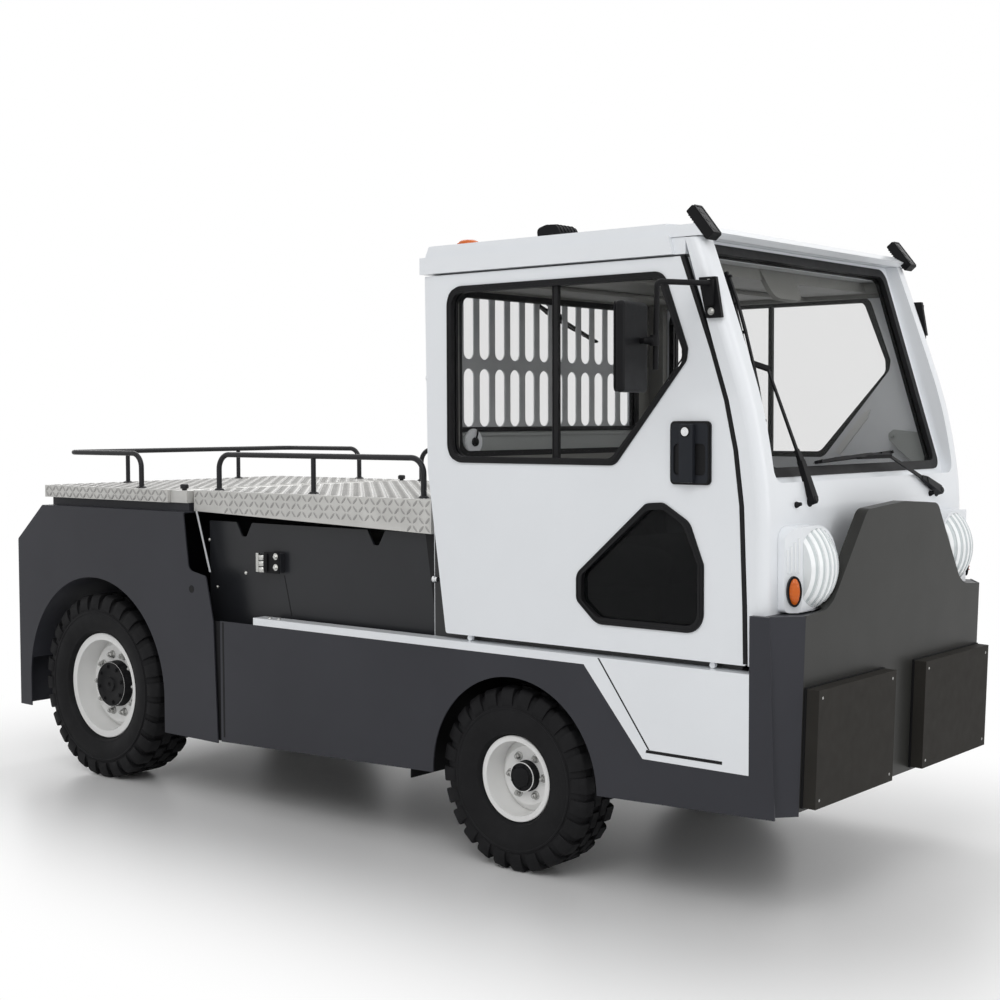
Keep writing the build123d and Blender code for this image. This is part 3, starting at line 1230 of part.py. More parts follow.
def main():
    os.makedirs("parts", exist_ok=True)
    nodes = [(name, as_solids(shape)) for name, shape in all_nodes()]
    whole = Compound([s for name, solids in nodes for s in solids]).bounding_box()
    middle = (whole.min.X + whole.max.X) / 2
    for name, solids in nodes:
        moved = [Pos(-middle, 0, 0) * s for s in solids]
        export_step(moved[0] if len(moved) == 1 else Compound(moved), f"parts/{name}.step")
    print("rear axle at x =", round(-middle, 2), "length", round(whole.max.X - whole.min.X, 1))


main()
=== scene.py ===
import bpy
import bmesh
import json
import math
from mathutils import Matrix, Vector


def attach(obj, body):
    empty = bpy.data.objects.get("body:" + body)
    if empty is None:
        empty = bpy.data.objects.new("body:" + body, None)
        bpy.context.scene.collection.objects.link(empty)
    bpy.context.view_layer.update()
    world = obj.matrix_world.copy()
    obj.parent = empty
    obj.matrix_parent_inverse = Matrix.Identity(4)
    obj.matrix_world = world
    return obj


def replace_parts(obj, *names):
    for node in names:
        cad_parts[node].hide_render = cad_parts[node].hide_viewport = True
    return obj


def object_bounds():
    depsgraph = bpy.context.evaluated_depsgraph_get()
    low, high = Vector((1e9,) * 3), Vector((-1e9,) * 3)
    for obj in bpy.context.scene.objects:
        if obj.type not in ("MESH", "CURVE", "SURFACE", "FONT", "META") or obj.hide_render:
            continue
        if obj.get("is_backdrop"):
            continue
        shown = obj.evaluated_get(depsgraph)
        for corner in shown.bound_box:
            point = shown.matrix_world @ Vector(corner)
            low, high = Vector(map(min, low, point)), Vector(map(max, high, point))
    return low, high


# Airport baggage tug, dressed over its CAD frame. Metres, in the frame of the CAD.
# Stations in the tables below are millimetres from the rear axle, as in the part's source.
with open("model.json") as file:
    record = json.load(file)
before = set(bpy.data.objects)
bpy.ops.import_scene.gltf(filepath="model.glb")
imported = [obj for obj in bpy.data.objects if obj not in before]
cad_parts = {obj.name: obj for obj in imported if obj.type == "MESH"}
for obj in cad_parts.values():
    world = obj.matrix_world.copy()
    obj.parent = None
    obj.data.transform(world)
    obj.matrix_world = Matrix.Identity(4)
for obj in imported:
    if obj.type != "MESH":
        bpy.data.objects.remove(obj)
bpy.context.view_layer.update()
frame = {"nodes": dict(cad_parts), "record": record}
nodes = frame["nodes"]
joints = {j["name"]: j for j in frame["record"]["behaviour"]["joints"]}
REAR_AXLE = joints["rear_wheel_right_spin"]["pos_m"][0]
SIDES = (("right", -1), ("left", 1))


# Materials. The places that they use are metres in the row frame.

CAB_REAR_FACE = 1.776 + REAR_AXLE
BELOW_DECK = 1.13
LOW_PANE_TOP = 1.25
LENS_EDGE = 0.463 + 0.080
FLUTE_PITCH = 0.02557


def shader(name, colour, rough, metal=0.0, gloss=0.5):
    mat = bpy.data.materials.new(name)
    mat.use_nodes = True
    tree = mat.node_tree
    bsdf = tree.nodes["Principled BSDF"]
    bsdf.inputs["Base Color"].default_value = (*colour, 1)
    bsdf.inputs["Roughness"].default_value = rough
    bsdf.inputs["Metallic"].default_value = metal
    bsdf.inputs["Specular IOR Level"].default_value = gloss
    return mat, tree, bsdf


def added(tree, kind, inputs, **settings):
    """A new node; each of its inputs gets a value or the socket that feeds it."""
    node = tree.nodes.new("ShaderNode" + kind)
    for name, value in settings.items():
        setattr(node, name, value)
    for name, value in inputs.items():
        if isinstance(value, bpy.types.NodeSocket):
            tree.links.new(value, node.inputs[name])
        else:
            node.inputs[name].default_value = value
    return node


def coords(tree):
    return added(tree, "TexCoord", {}).outputs["Object"]


def noise(tree, scale, detail=3.0):
    return added(tree, "TexNoise", {"Scale": scale, "Detail": detail, "Vector": coords(tree)}).outputs["Fac"]


def ramp(tree, fac, stops):
    """Rows of (position, colour)."""
    node = added(tree, "ValToRGB", {"Fac": fac})
    points = node.color_ramp.elements
    while len(points) < len(stops):
        points.new(0.5)
    for point, (place, colour) in zip(points, stops):
        point.position = place
        point.color = (*colour, 1)
    return node.outputs["Color"]


def level(tree, fac, low, high):
    return added(tree, "MapRange", {"To Min": low, "To Max": high, "Value": fac}).outputs["Result"]


def worked(tree, operation, value, other):
    """A sum on a socket and either a number or a second socket."""
    return added(tree, "Math", {0: value, 1: other}, operation=operation).outputs["Value"]


def position(tree, axis):
    """One coordinate of the point, in metres in the row frame."""
    return added(tree, "SeparateXYZ", {0: coords(tree)}).outputs[axis]


def mixed(tree, share, low, high):
    return added(tree, "Mix", {"Factor": share, 6: low, 7: high}, data_type="RGBA").outputs[2]


def tinted(tree, bsdf, fac, colour, spread):
    """Base colour that drifts by the given share around one colour."""
    low = tuple(c * (1 - spread) for c in colour)
    high = tuple(min(1, c * (1 + spread)) for c in colour)
    tree.links.new(ramp(tree, fac, [(0.3, low), (0.7, high)]), bsdf.inputs["Base Color"])


def roughened(tree, bsdf, fac, low, high):
    tree.links.new(level(tree, fac, low, high), bsdf.inputs["Roughness"])


def bump(tree, bsdf, height, strength, distance):
    node = added(tree, "Bump", {"Strength": strength, "Distance": distance, "Height": height})
    tree.links.new(node.outputs["Normal"], bsdf.inputs["Normal"])


def surface(name, colour, rough, tint, shine, grain, metal=0.0, gloss=0.5):
    """A colour and a roughness that drift, and a fine relief, each by its own noise of (scale, detail).

    After those two, tint has a spread, shine how far it goes down and up, and grain a strength and a distance.
    """
    mat, tree, bsdf = shader(name, colour, rough, metal, gloss)
    tinted(tree, bsdf, noise(tree, *tint[:2]), colour, tint[2])
    roughened(tree, bsdf, noise(tree, *shine[:2]), rough - shine[2], rough + shine[3])
    bump(tree, bsdf, noise(tree, *grain[:2]), *grain[2:])
    return mat


def paint(name, colour, rough=0.35, spread=0.03, peel=0.05, coat=0.0, gloss=0.5, drift=0.07):
    """Sprayed metal: slow drift of colour and gloss, fine orange peel."""
    grain = (420.0, 2.0, peel, 0.0006)
    mat = surface(name, colour, rough, (2.3, 3.0, spread), (7.0, 5.0, drift, drift), grain, gloss=gloss)
    bsdf = mat.node_tree.nodes["Principled BSDF"]
    bsdf.inputs["Coat Weight"].default_value = coat
    bsdf.inputs["Coat Roughness"].default_value = 0.08
    return mat


def rubber(name, colour, rough=0.62, grain=140.0, depth=0.0012, strength=0.25, spread=0.18, gloss=0.12):
    relief = (grain, 5.0, strength, depth)
    return surface(name, colour, rough, (9.0, 6.0, spread), (26.0, 4.0, 0.1, 0.12), relief, gloss=gloss)


def plastic(name, colour, rough=0.45, gloss=0.16):
    shine, grain = (30.0, 3.0, 0.06, 0.06), (600.0, 2.0, 0.12, 0.0005)
    return surface(name, colour, rough, (14.0, 3.0, 0.08), shine, grain, gloss=gloss)


def metal(name, colour, rough, strength=0.08, share=1.0):
    shine, grain = (40.0, 5.0, 0.08, 0.1), (240.0, 3.0, strength, 0.0004)
    return surface(name, colour, rough, (11.0, 5.0, 0.08), shine, grain, share)


def glass(name, colour, alpha, rough=0.02, shaded_low_alpha=None, gloss=0.5):
    """Thin tinted glass: a see-through share over a glossy tinted sheet; low panes may be darker and less see-through,
    as painted shade of the cab's inside behind them.
    """
    mat, tree, bsdf = shader(name, colour, rough, 0.0, gloss)
    bsdf.inputs["Alpha"].default_value = alpha
    if shaded_low_alpha is not None:
        high = worked(tree, "GREATER_THAN", position(tree, "Z"), LOW_PANE_TOP)
        tree.links.new(level(tree, high, shaded_low_alpha, alpha), bsdf.inputs["Alpha"])
    bsdf.inputs["IOR"].default_value = 1.52
    tinted(tree, bsdf, noise(tree, 1.6), colour, 0.1)
    roughened(tree, bsdf, noise(tree, 5.0, 6.0), rough, rough + 0.015)
    return mat


def painted_flute_light(name, groove, ridge_highlight):
    """Clear lens over a bright bowl, drawn with painted light: pale painted highlights on the ridges between grey
    painted shade in the grooves, as far apart as the solid's flutes.
    """
    mat, tree, bsdf = shader(name, ridge_highlight, 0.10)
    value = position(tree, "Y")
    for operation, number in (
            ("ABSOLUTE", 0), ("SUBTRACT", LENS_EDGE), ("DIVIDE", -FLUTE_PITCH), ("FRACT", 0), ("SUBTRACT", 0.25),
            ("ABSOLUTE", 0)):
        value = worked(tree, operation, value, number)
    stops = [(0.20, ridge_highlight), (0.30, groove), (0.72, groove), (0.75, ridge_highlight)]
    tree.links.new(ramp(tree, value, stops), bsdf.inputs["Base Color"])
    roughened(tree, bsdf, noise(tree, 30.0), 0.05, 0.12)
    return mat


def white_with_painted_shade(name, outside, inside):
    """White on the rear wall's outer face; inside the cab a grey that is painted shade, and near black below the deck
    as deeper painted shade.
    """
    mat, tree, bsdf = shader(name, inside, 0.5)
    drift = noise(tree, 3.0)

    def drifting(low, high):
        return ramp(tree, drift, [(0.3, low), (0.7, high)])
    outer = drifting(tuple(c * 0.98 for c in outside), outside)
    # Inside the cab: grey walls, and near black below the deck, both painted shade.
    shaded_walls = drifting(tuple(c * 0.94 for c in inside), inside)
    below_deck_shade = drifting((0.010, 0.010, 0.011), (0.014, 0.014, 0.015))
    inner = mixed(tree, worked(tree, "GREATER_THAN", position(tree, "Z"), BELOW_DECK), below_deck_shade, shaded_walls)
    both = mixed(tree, worked(tree, "GREATER_THAN", position(tree, "X"), CAB_REAR_FACE), outer, inner)
    tree.links.new(both, bsdf.inputs["Base Color"])
    roughened(tree, bsdf, noise(tree, 7.0, 5.0), 0.38, 0.55)
    bump(tree, bsdf, noise(tree, 380.0, 2.0), 0.08, 0.0006)
    return mat


def fabric(name, colour):
    """Woven seat cloth: two crossed wave textures as its threads."""
    mat, tree, bsdf = shader(name, colour, 0.85)
    tinted(tree, bsdf, noise(tree, 18.0, 4.0), colour, 0.2)
    inputs = {"Scale": 160.0, "Distortion": 0.6, "Vector": coords(tree)}
    threads = [added(tree, "TexWave", inputs, bands_direction=axis).outputs["Fac"] for axis in ("X", "Z")]
    bump(tree, bsdf, worked(tree, "ADD", *threads), 0.35, 0.0008)
    bsdf.inputs["Sheen Weight"].default_value = 0.3
    return mat


# Grey in place of the white cab's inside, darkened to stand for the shade there: painted shade.
CAB_INSIDE_SHADE = (0.21, 0.21, 0.195)
WHITE = paint("cab_white_paint", (0.85, 0.875, 0.905), 0.30, 0.015, 0.03, coat=0.3, drift=0.02)
GREY = paint("skirt_grey_paint", (0.0365, 0.0375, 0.045), 0.40, 0.08, 0.08, gloss=0.22)
PLATE_GREY = paint("front_plate_paint", (0.029, 0.029, 0.027), 0.36, 0.08, 0.08, gloss=0.26)
BLACK = paint("chassis_black_paint", (0.010, 0.010, 0.011), 0.48, 0.15, 0.10, gloss=0.12)
RAIL = paint("rail_black_paint", (0.013, 0.013, 0.015), 0.40, 0.10, 0.08, gloss=0.3)
RIM = paint("rim_white_paint", (0.86, 0.86, 0.85), 0.34, 0.03, 0.06)
GUARD = paint("guard_white_paint", (0.80, 0.82, 0.84), 0.40, 0.03, 0.06)
BRACKET = paint("bracket_grey_paint", (0.40, 0.42, 0.41), 0.45, 0.04, 0.06)
# The cab inside's grey, which is painted shade, for the roof beams and the visor.
INSIDE_SHADE = paint("inside_painted_shade", CAB_INSIDE_SHADE, 0.5, 0.05, 0.08)
BATTERY_PAINT = paint("battery_box_paint", (0.018, 0.019, 0.022), 0.30, 0.10, 0.06, gloss=0.35)
# White outside, and painted shade inside the cab and below the deck.
CAB_WHITE_AND_SHADE = white_with_painted_shade("cab_white_and_painted_shade", (0.80, 0.82, 0.85), CAB_INSIDE_SHADE)
TREAD_PLATE = metal("tread_plate_aluminium", (0.60, 0.595, 0.575), 0.50, share=0.45)
# The raised bars: the same aluminium as the plate, coloured darker as painted shade.
TREAD_BAR_SHADE = metal("tread_bar_painted_shade", (0.36, 0.355, 0.345), 0.34, share=0.45)
STEEL = metal("zinc_steel", (0.60, 0.60, 0.58), 0.34)
NUT_STEEL = metal("wheel_nut_steel", (0.42, 0.42, 0.41), 0.36)
CHROME = metal("bright_steel", (0.74, 0.75, 0.76), 0.14, strength=0.02)
MIRROR = metal("mirror_silver", (0.85, 0.86, 0.87), 0.10, strength=0.01)
TYRE = rubber("tyre_rubber", (0.012, 0.012, 0.013), 0.62)
SEAL = rubber("seal_rubber", (0.009, 0.009, 0.010), 0.50, 300.0, 0.0006, gloss=0.2)
PAD = rubber("pad_rubber", (0.029, 0.027, 0.024), 0.66, 160.0, 0.0007, 0.10, 0.06)
DARK = plastic("black_plastic", (0.008, 0.008, 0.009), gloss=0.12)
RECESS = plastic("handle_plastic", (0.018, 0.020, 0.025), 0.42)
DASH = plastic("dash_plastic", (0.035, 0.036, 0.036), 0.55)
BATTERY = plastic("battery_case", (0.07, 0.075, 0.08), 0.5)
AMBER = plastic("amber_lens", (0.66, 0.135, 0.012), 0.18, gloss=0.4)
RED = plastic("red_lens", (0.42, 0.012, 0.012), 0.18, gloss=0.4)
GLASS = glass("window_glass", (0.030, 0.034, 0.031), 0.10, gloss=0.3)
# Below LOW_PANE_TOP the door pane is near black and mostly opaque: painted shade of the cab's inside behind it.
DOOR_GLASS = glass("door_glass", (0.006, 0.0065, 0.007), 0.05, shaded_low_alpha=0.80, gloss=0.12)
LENS = glass("headlight_glass", (0.93, 0.97, 1.0), 0.93, 0.05)
SMOKE = glass("smoked_glass", (0.014, 0.014, 0.016), 0.88, 0.07, gloss=0.2)
# Grey grooves as painted shade and pale ridges as painted highlights on the headlight lenses.
FLUTE_LIGHT = painted_flute_light("headlight_flute_painted_light", (0.60, 0.65, 0.66), (0.97, 0.99, 1.0))
CLOTH = fabric("seat_cloth", (0.040, 0.042, 0.046))

CAD_MATERIALS = [
    # cab_frame: white outside, painted shade inside.
    (CAB_WHITE_AND_SHADE, ["cab_frame"]),
    (WHITE, ["cab_front", "roof", "door_right", "door_left", "door_rails", "headlight_housings"]),
    (GREY, ["side_skirts", "rear_fenders", "rear_panel"]),
    (PLATE_GREY, ["front_plate"]),
    (BLACK, [
        "chassis_frame", "splash_plates", "front_axle", "rear_axle", "knuckle_right", "knuckle_left", "tow_hitch"]),
    (BATTERY_PAINT, ["battery_tray"]),
    (RAIL, ["rear_rail", "lid_rails"]),
    (GUARD, ["rear_guard"]),
    (RIM, ["rear_rim_right", "rear_rim_left", "front_rim_right", "front_rim_left"]),
    (TREAD_PLATE, ["rear_deck", "deck_lid"]),
    (TYRE, ["rear_tyre_right", "rear_tyre_left", "front_tyre_right", "front_tyre_left"]),
    (PAD, ["push_pads"]),
    (SEAL, ["window_seals", "door_seals_right", "door_seals_left"]),
    (GLASS, ["cab_glass"]),
    (DOOR_GLASS, ["door_glass_right", "door_glass_left"]),
    (FLUTE_LIGHT, ["headlight_lenses"]),
    (AMBER, ["marker_lamps"]),
    (RED, ["rear_lamps"]),
    (DARK, ["wipers", "mirrors", "work_lamps", "beacon", "roof_vent", "steering_wheel"]),
    (DASH, ["dashboard"]),
    (CLOTH, ["seats"]),
    (BATTERY, ["battery_block"]),
    (CHROME, ["steering_rod"]),
]
for material, names in CAD_MATERIALS:
    for name in names:
        mesh = nodes[name].data
        mesh.materials.clear()
        mesh.materials.append(material)


# Mesh helpers. Their numbers are millimetres, and a placing matrix turns them into the row frame.

WORLD = Matrix.Translation((REAR_AXLE, 0, 0)) @ Matrix.Scale(0.001, 4)
SWAP_YZ = Matrix(((1, 0, 0, 0), (0, 0, 1, 0), (0, 1, 0, 0), (0, 0, 0, 1)))
SIDE_VIEW = WORLD @ SWAP_YZ
FRONT_VIEW = Matrix(((0, 0, 1, 0), (1, 0, 0, 0), (0, 1, 0, 0), (0, 0, 0, 1)))
REAR_VIEW = Matrix(((0, 0, -1, 0), (1, 0, 0, 0), (0, 1, 0, 0), (0, 0, 0, 1)))
AHEAD, BACK, LEFT, RIGHT, UP = (1, 0, 0), (-1, 0, 0), (0, 1, 0), (0, -1, 0), (0, 0, 1)
DECK_TOP = 1162


def placed(x, y, z):
    return WORLD @ Matrix.Translation((x, y, z))


def leaning(x, y, z, angle):
    """A place that is turned about the direction of Y."""
    return placed(x, y, z) @ Matrix.Rotation(angle, 4, "Y")


def facing(x, y, z, direction):
    """Local Z points along the direction from the point (x, y, z)."""
    return placed(x, y, z) @ Vector(UP).rotation_difference(Vector(direction)).to_matrix().to_4x4()


def outwards(s, x, y, z):
    """Local Z points out of side s, from the point at the distance y from the middle."""
    return facing(x, s * y, z, (0, s, 0))


def linked(name, data):
    obj = bpy.data.objects.new(name, data)
    bpy.context.scene.collection.objects.link(obj)
    return obj


def piece(name, bm, material, smooth=None, body="vehicle"):
    """Turns a bmesh into an object that rides on a body; smooth is the sharpest angle that is rounded."""
    bmesh.ops.recalc_face_normals(bm, faces=bm.faces)
    mesh = bpy.data.meshes.new(name)
    bm.to_mesh(mesh)
    bm.free()
    mesh.materials.append(material)
    obj = linked(name, mesh)
    if smooth:
        mesh.shade_smooth()
        mesh.set_sharp_from_angle(angle=math.radians(smooth))
    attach(obj, body)
    return obj


def skin(bm, rings):
    """The faces between rings that follow each other."""
    for a, b in zip(rings, rings[1:]):
        for k in range(len(a)):
            bm.faces.new((a[k], a[k - 1], b[k - 1], b[k]))


def joined(bm, rings):
    """Skins the rings and closes the first and the last one."""
    skin(bm, rings)
    bm.faces.new(rings[0])
    bm.faces.new(rings[-1])


def prism(bm, points, depth0, depth1, place=WORLD):
    """A closed polygon of (x, y) on the local XY plane, from depth0 to depth1 along local Z."""
    low = [bm.verts.new(place @ Vector((x, y, depth0))) for x, y in points]
    high = [bm.verts.new(place @ Vector((x, y, depth1))) for x, y in points]
    joined(bm, [low, high])


def slab(bm, lo, hi, place=WORLD, bevel=0.0):
    """A box from its lowest to its highest corner, its edges rounded by the bevel."""
    spots = [Vector((x, y, z)) for x in (lo[0], hi[0]) for y in (lo[1], hi[1]) for z in (lo[2], hi[2])]
    verts = [bm.verts.new(place @ spot) for spot in spots]
    faces = []
    for corners in ((0, 1, 3, 2), (4, 6, 7, 5), (0, 4, 5, 1), (2, 3, 7, 6), (0, 2, 6, 4), (1, 5, 7, 3)):
        faces.append(bm.faces.new([verts[k] for k in corners]))
    if bevel:
        edges = list(dict.fromkeys(e for f in faces for e in f.edges))
        bmesh.ops.bevel(bm, geom=edges, offset=bevel / 1000, segments=2, profile=0.7, affect="EDGES")


def side_slab(bm, s, lo, hi, bevel=0.0):
    """A box on side s, whose corners give Y as a distance from the middle."""
    low, high = sorted((s * lo[1], s * hi[1]))
    slab(bm, (lo[0], low, lo[2]), (hi[0], high, hi[2]), bevel=bevel)


def lathe(bm, rows, place, steps=40, start=0.0):
    """Rows of (along, radius), turned about the local Z axis."""
    rings = []
    for along, radius in rows:
        count = steps if radius else 1
        turns = [start + 2 * math.pi * k / steps for k in range(count)]
        spots = [Vector((radius * math.cos(t), radius * math.sin(t), along)) for t in turns]
        rings.append([bm.verts.new(place @ spot) for spot in spots])
    for a, b in zip(rings, rings[1:]):
        for k in range(steps):
            corners = (a[k % len(a)], a[(k + 1) % len(a)], b[(k + 1) % len(b)], b[k % len(b)])
            bm.faces.new(tuple(dict.fromkeys(corners)))


def spun(bm, rows, place, steps, start=0.0):
    """A turned solid, flat at both ends."""
    lathe(bm, [(rows[0][0], 0), *rows, (rows[-1][0], 0)], place, steps, start)


def bolt(bm, place, radius=7.0):
    """A hexagon head on its washer."""
    spun(bm, [(-0.5, radius * 1.5), (radius * 0.25, radius * 1.5)], place, 20)
    spun(bm, [(radius * 0.2, radius), (radius * 0.9, radius), (radius * 1.05, radius * 0.85)], place, 6)


def rounded(rows, steps=5):
    """Rows of (x, y, corner radius) as the points of a closed outline with round corners."""
    points = []
    for i, (x, y, r) in enumerate(rows):
        here = Vector((x, y))
        if not r:
            points.append((x, y))
            continue
        before = Vector(rows[i - 1][:2]) - here
        after = Vector(rows[(i + 1) % len(rows)][:2]) - here
        half = before.angle(after) / 2
        reach = min(r / math.tan(half), before.length * 0.49, after.length * 0.49)
        a = here + before.normalized() * reach
        b = here + after.normalized() * reach
        for k in range(steps + 1):
            t = k / steps
            spot = a * (1 - t) ** 2 + here * 2 * t * (1 - t) + b * t ** 2
            points.append((spot.x, spot.y))
    return points


def panel(x0, y0, x1, y1, r):
    """A rectangle with round corners, as an outline."""
    return rounded([(x0, y0, r), (x1, y0, r), (x1, y1, r), (x0, y1, r)])


def band(bm, outer, inner, depth0, depth1, place):
    """The strip between two outlines with as many points, as a closed frame."""
    rings = [[bm.verts.new(place @ Vector((x, y, d))) for x, y in ring] for ring, d in (
        (outer, depth0), (outer, depth1), (inner, depth1), (inner, depth0))]
    skin(bm, rings + rings[:1])


def tube(bm, points, radius, sides=12):
    """A round bar along points, closed at both ends."""
    path = [Vector(p) for p in points]
    rings = []
    side = None
    for i, spot in enumerate(path):
        along = (path[min(i + 1, len(path) - 1)] - path[max(i - 1, 0)]).normalized()
        side = (side - along * side.dot(along)).normalized() if i else along.orthogonal().normalized()
        other = along.cross(side)
        turns = [2 * math.pi * k / sides for k in range(sides)]
        ring = [spot + (side * math.cos(t) + other * math.sin(t)) * radius for t in turns]
        rings.append([bm.verts.new(WORLD @ corner) for corner in ring])
    joined(bm, rings)


def bar(bm, start, end, width, height, end_width=None, end_height=None, up=AHEAD):
    """A tapering flat bar between two points; its height lies along up."""
    a, b = Vector(start), Vector(end)
    along = (b - a).normalized()
    across = along.cross(Vector(up)).normalized()
    rise = across.cross(along)
    rings = []
    for spot, w, h in ((a, width, height), (b, end_width or width, end_height or height)):
        corners = ((-1, -1), (1, -1), (1, 1), (-1, 1))
        rings.append([bm.verts.new(WORLD @ (spot + across * w / 2 * i + rise * h / 2 * j)) for i, j in corners])
    joined(bm, rings)


def around(place, count, radius, depth, start=0):
    """Places spread evenly on a circle about the local Z axis, each with its angle."""
    for k in range(count):
        turn = math.radians(360 / count * k + start)
        yield turn, place @ Matrix.Translation((radius * math.cos(turn), radius * math.sin(turn), depth))


# Wheels

# (station, distance from the middle, radius) of the wheels, whose centres are as high as their radius
WHEELS = {"rear": (0, 542.5, 367), "front": (2125, 560, 292)}
# Rows of (end, width, bead radius, foot, flange, groove depth, lugs)
TYRES = [
    ("rear", 225, 190.9, 73.6, 18, 15, 28),
    ("front", 180, 127.4, 56.6, 9, 13, 24),
]
# Rows of (share of the tyre's half width, share of its height over the bead)
LUG_OUTSIDE = [(0.955, 0.66), (0.985, 0.70), (0.975, 0.80), (0.93, 0.915), (0.86, 0.98), (0.80, 1), (0.42, 1)]
LUG_INSIDE = [(0.93, 0.66), (0.92, 0.70), (0.88, 0.80), (0.82, 0.86)]
# Rows of (end, cap, steps, bolts on a circle, bolt size, nuts on a circle, washer, nut, stud); a circle is
# (count, radius, depth, first angle), and the outlines are rows of (along, radius)
HUBS = [
    ("rear",
     [(12.2, 93), (18, 93), (22, 90.5), (50, 90.5), (54, 86), (54, 58), (52.8, 56), (52.8, 30), (58, 27), (58, 9),
      (53, 6)],
     56, (8, 72, 54, 12), 6.5, (10, 119, 12, 0),
     [(-0.3, 17), (4, 16), (6, 13.5)], [(5, 11.5), (19, 11.5), (21, 9.5)], [(20, 6), (27, 6), (28, 5)]),
    ("front",
     [(4.2, 50), (8, 50), (10, 47.5), (31, 47.5), (35, 44), (35, 34), (40, 31), (42, 20)],
     40, (6, 39, 34.5, 20), 4.0, (6, 68, 4, 0),
     [(-0.3, 14), (3, 13.5), (4, 11.5)], [(3.5, 9.5), (15, 9.5), (17, 7.5)], [(16, 5), (21, 5), (22, 4)]),
]


def wheel_place(end, s):
    station, across, radius = WHEELS[end]
    return outwards(s, station, across, radius)


def tyre_profile(radius, width, bead, foot, flange, groove):
    """Right half of the carcass, from the bead to the middle of the tread, as (along, radius)."""
    h = width / 2
    d = radius - bead
    low = bead + flange
    floor = radius - groove
    return [
        (foot, bead), (foot, low), (h * 0.74, low + d * 0.035), (h * 0.84, low + d * 0.05),
        (h * 0.885, low + d * 0.075), (h * 0.89, low + d * 0.11), (h * 0.92, low + d * 0.15),
        (h * 0.965, bead + d * 0.36), (h * 0.985, bead + d * 0.44), (h * 0.985, bead + d * 0.50),
        (h * 0.975, bead + d * 0.57), (h * 0.995, bead + d * 0.585), (h * 0.99, bead + d * 0.615),
        (h * 0.955, bead + d * 0.625), (h * 0.93, bead + d * 0.72), (h * 0.885, bead + d * 0.82),
        (h * 0.80, radius - groove * 1.5), (h * 0.70, floor), (h * 0.35, floor), (0, floor),
    ]


def lug(bm, place, turn, half_turn, outer, inner):
    """One tread block: its outer and inner outlines as (along, radius), swept over an angle."""
    rings = []
    for t, drop in ((-half_turn, 2.5), (-half_turn * 0.8, 0), (half_turn * 0.8, 0), (half_turn, 2.5)):
        ring = [(a, r - drop) for a, r in outer] + list(reversed(inner))
        c, s = math.cos(turn + t), math.sin(turn + t)
        rings.append([bm.verts.new(place @ Vector((r * c, r * s, a))) for a, r in ring])
    joined(bm, rings)


def tyre(side, s, end, width, bead, foot, flange, groove, lugs):
    bm = bmesh.new()
    place = wheel_place(end, s)
    radius = WHEELS[end][2]
    half = tyre_profile(radius, width, bead, foot, flange, groove)
    lathe(bm, half + [(-a, r) for a, r in reversed(half[:-1])] + half[:1], place, 96)
    d = radius - bead
    pitch = 2 * math.pi / lugs
    root = radius - groove * 1.15
    for way in (-1, 1):
        h = way * width / 2
        outer = [(h * a, bead + d * r) for a, r in LUG_OUTSIDE]
        inner = [(h * a, bead + d * r) for a, r in LUG_INSIDE]
        inner += [(h * 0.78, radius - groove * 1.6), (h * 0.70, root), (h * 0.42, root)]
        middle = [[(h * 0.36, r), (h * 0.04, r)] for r in (radius, root)]
        for i in range(lugs):
            turn = pitch * (i + (0.25 if way > 0 else 0.75))
            lug(bm, place, turn, pitch * 0.33, outer, inner)
            lug(bm, place, turn + pitch * 0.4, pitch * 0.36, *middle)
    obj = piece(f"{end}_tyre_{side}_tread", bm, TYRE, 32, f"{end}_wheel_{side}")
    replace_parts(obj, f"{end}_tyre_{side}")


def rim_lips(side, s, end, bead, foot, flange):
    """The rim's rolled lips."""
    bm = bmesh.new()
    for way in (1, -1):
        rows = []
        for k in range(11):
            t = math.pi * k / 10
            rows.append((way * (foot + 4.4 + 4.8 * math.sin(t)), bead + flange - 3.4 - 4.5 * math.cos(t)))
        rows.append(rows[0])
        lathe(bm, rows, wheel_place(end, s), 64)
    piece(f"{end}_rim_lip_{side}", bm, RIM, 50, f"{end}_wheel_{side}")


def hub(side, s, end, cap, steps, bolts, bolt_size, nuts, washer, nut, stud):
    place = wheel_place(end, s)
    body = f"{end}_wheel_{side}"
    bm = bmesh.new()
    spun(bm, cap, place, steps)
    for turn, spot in around(place, *bolts):
        bolt(bm, spot, bolt_size)
    piece(f"{end}_hub_{side}", bm, BLACK, 35, body)
    bm = bmesh.new()
    for turn, spot in around(place, *nuts):
        spun(bm, washer, spot, 24)
        spun(bm, nut, spot, 6, turn)
        spun(bm, stud, spot, 14)
    piece(f"{end}_wheel_nuts_{side}", bm, NUT_STEEL, 35, body)


for name, s in SIDES:
    for end, width, bead, foot, flange, groove, lugs in TYRES:
        tyre(name, s, end, width, bead, foot, flange, groove, lugs)
        rim_lips(name, s, end, bead, foot, flange)
    for row in HUBS:
        hub(name, s, *row)


# Tread plate

LOZENGE = ((-16.5, 0), (-8, 4.6), (8, 4.6), (16.5, 0), (8, -4.6), (-8, -4.6))
REAR_DECK_EDGE = 48
LID_EDGE = 114
LID_LENGTH = 1207


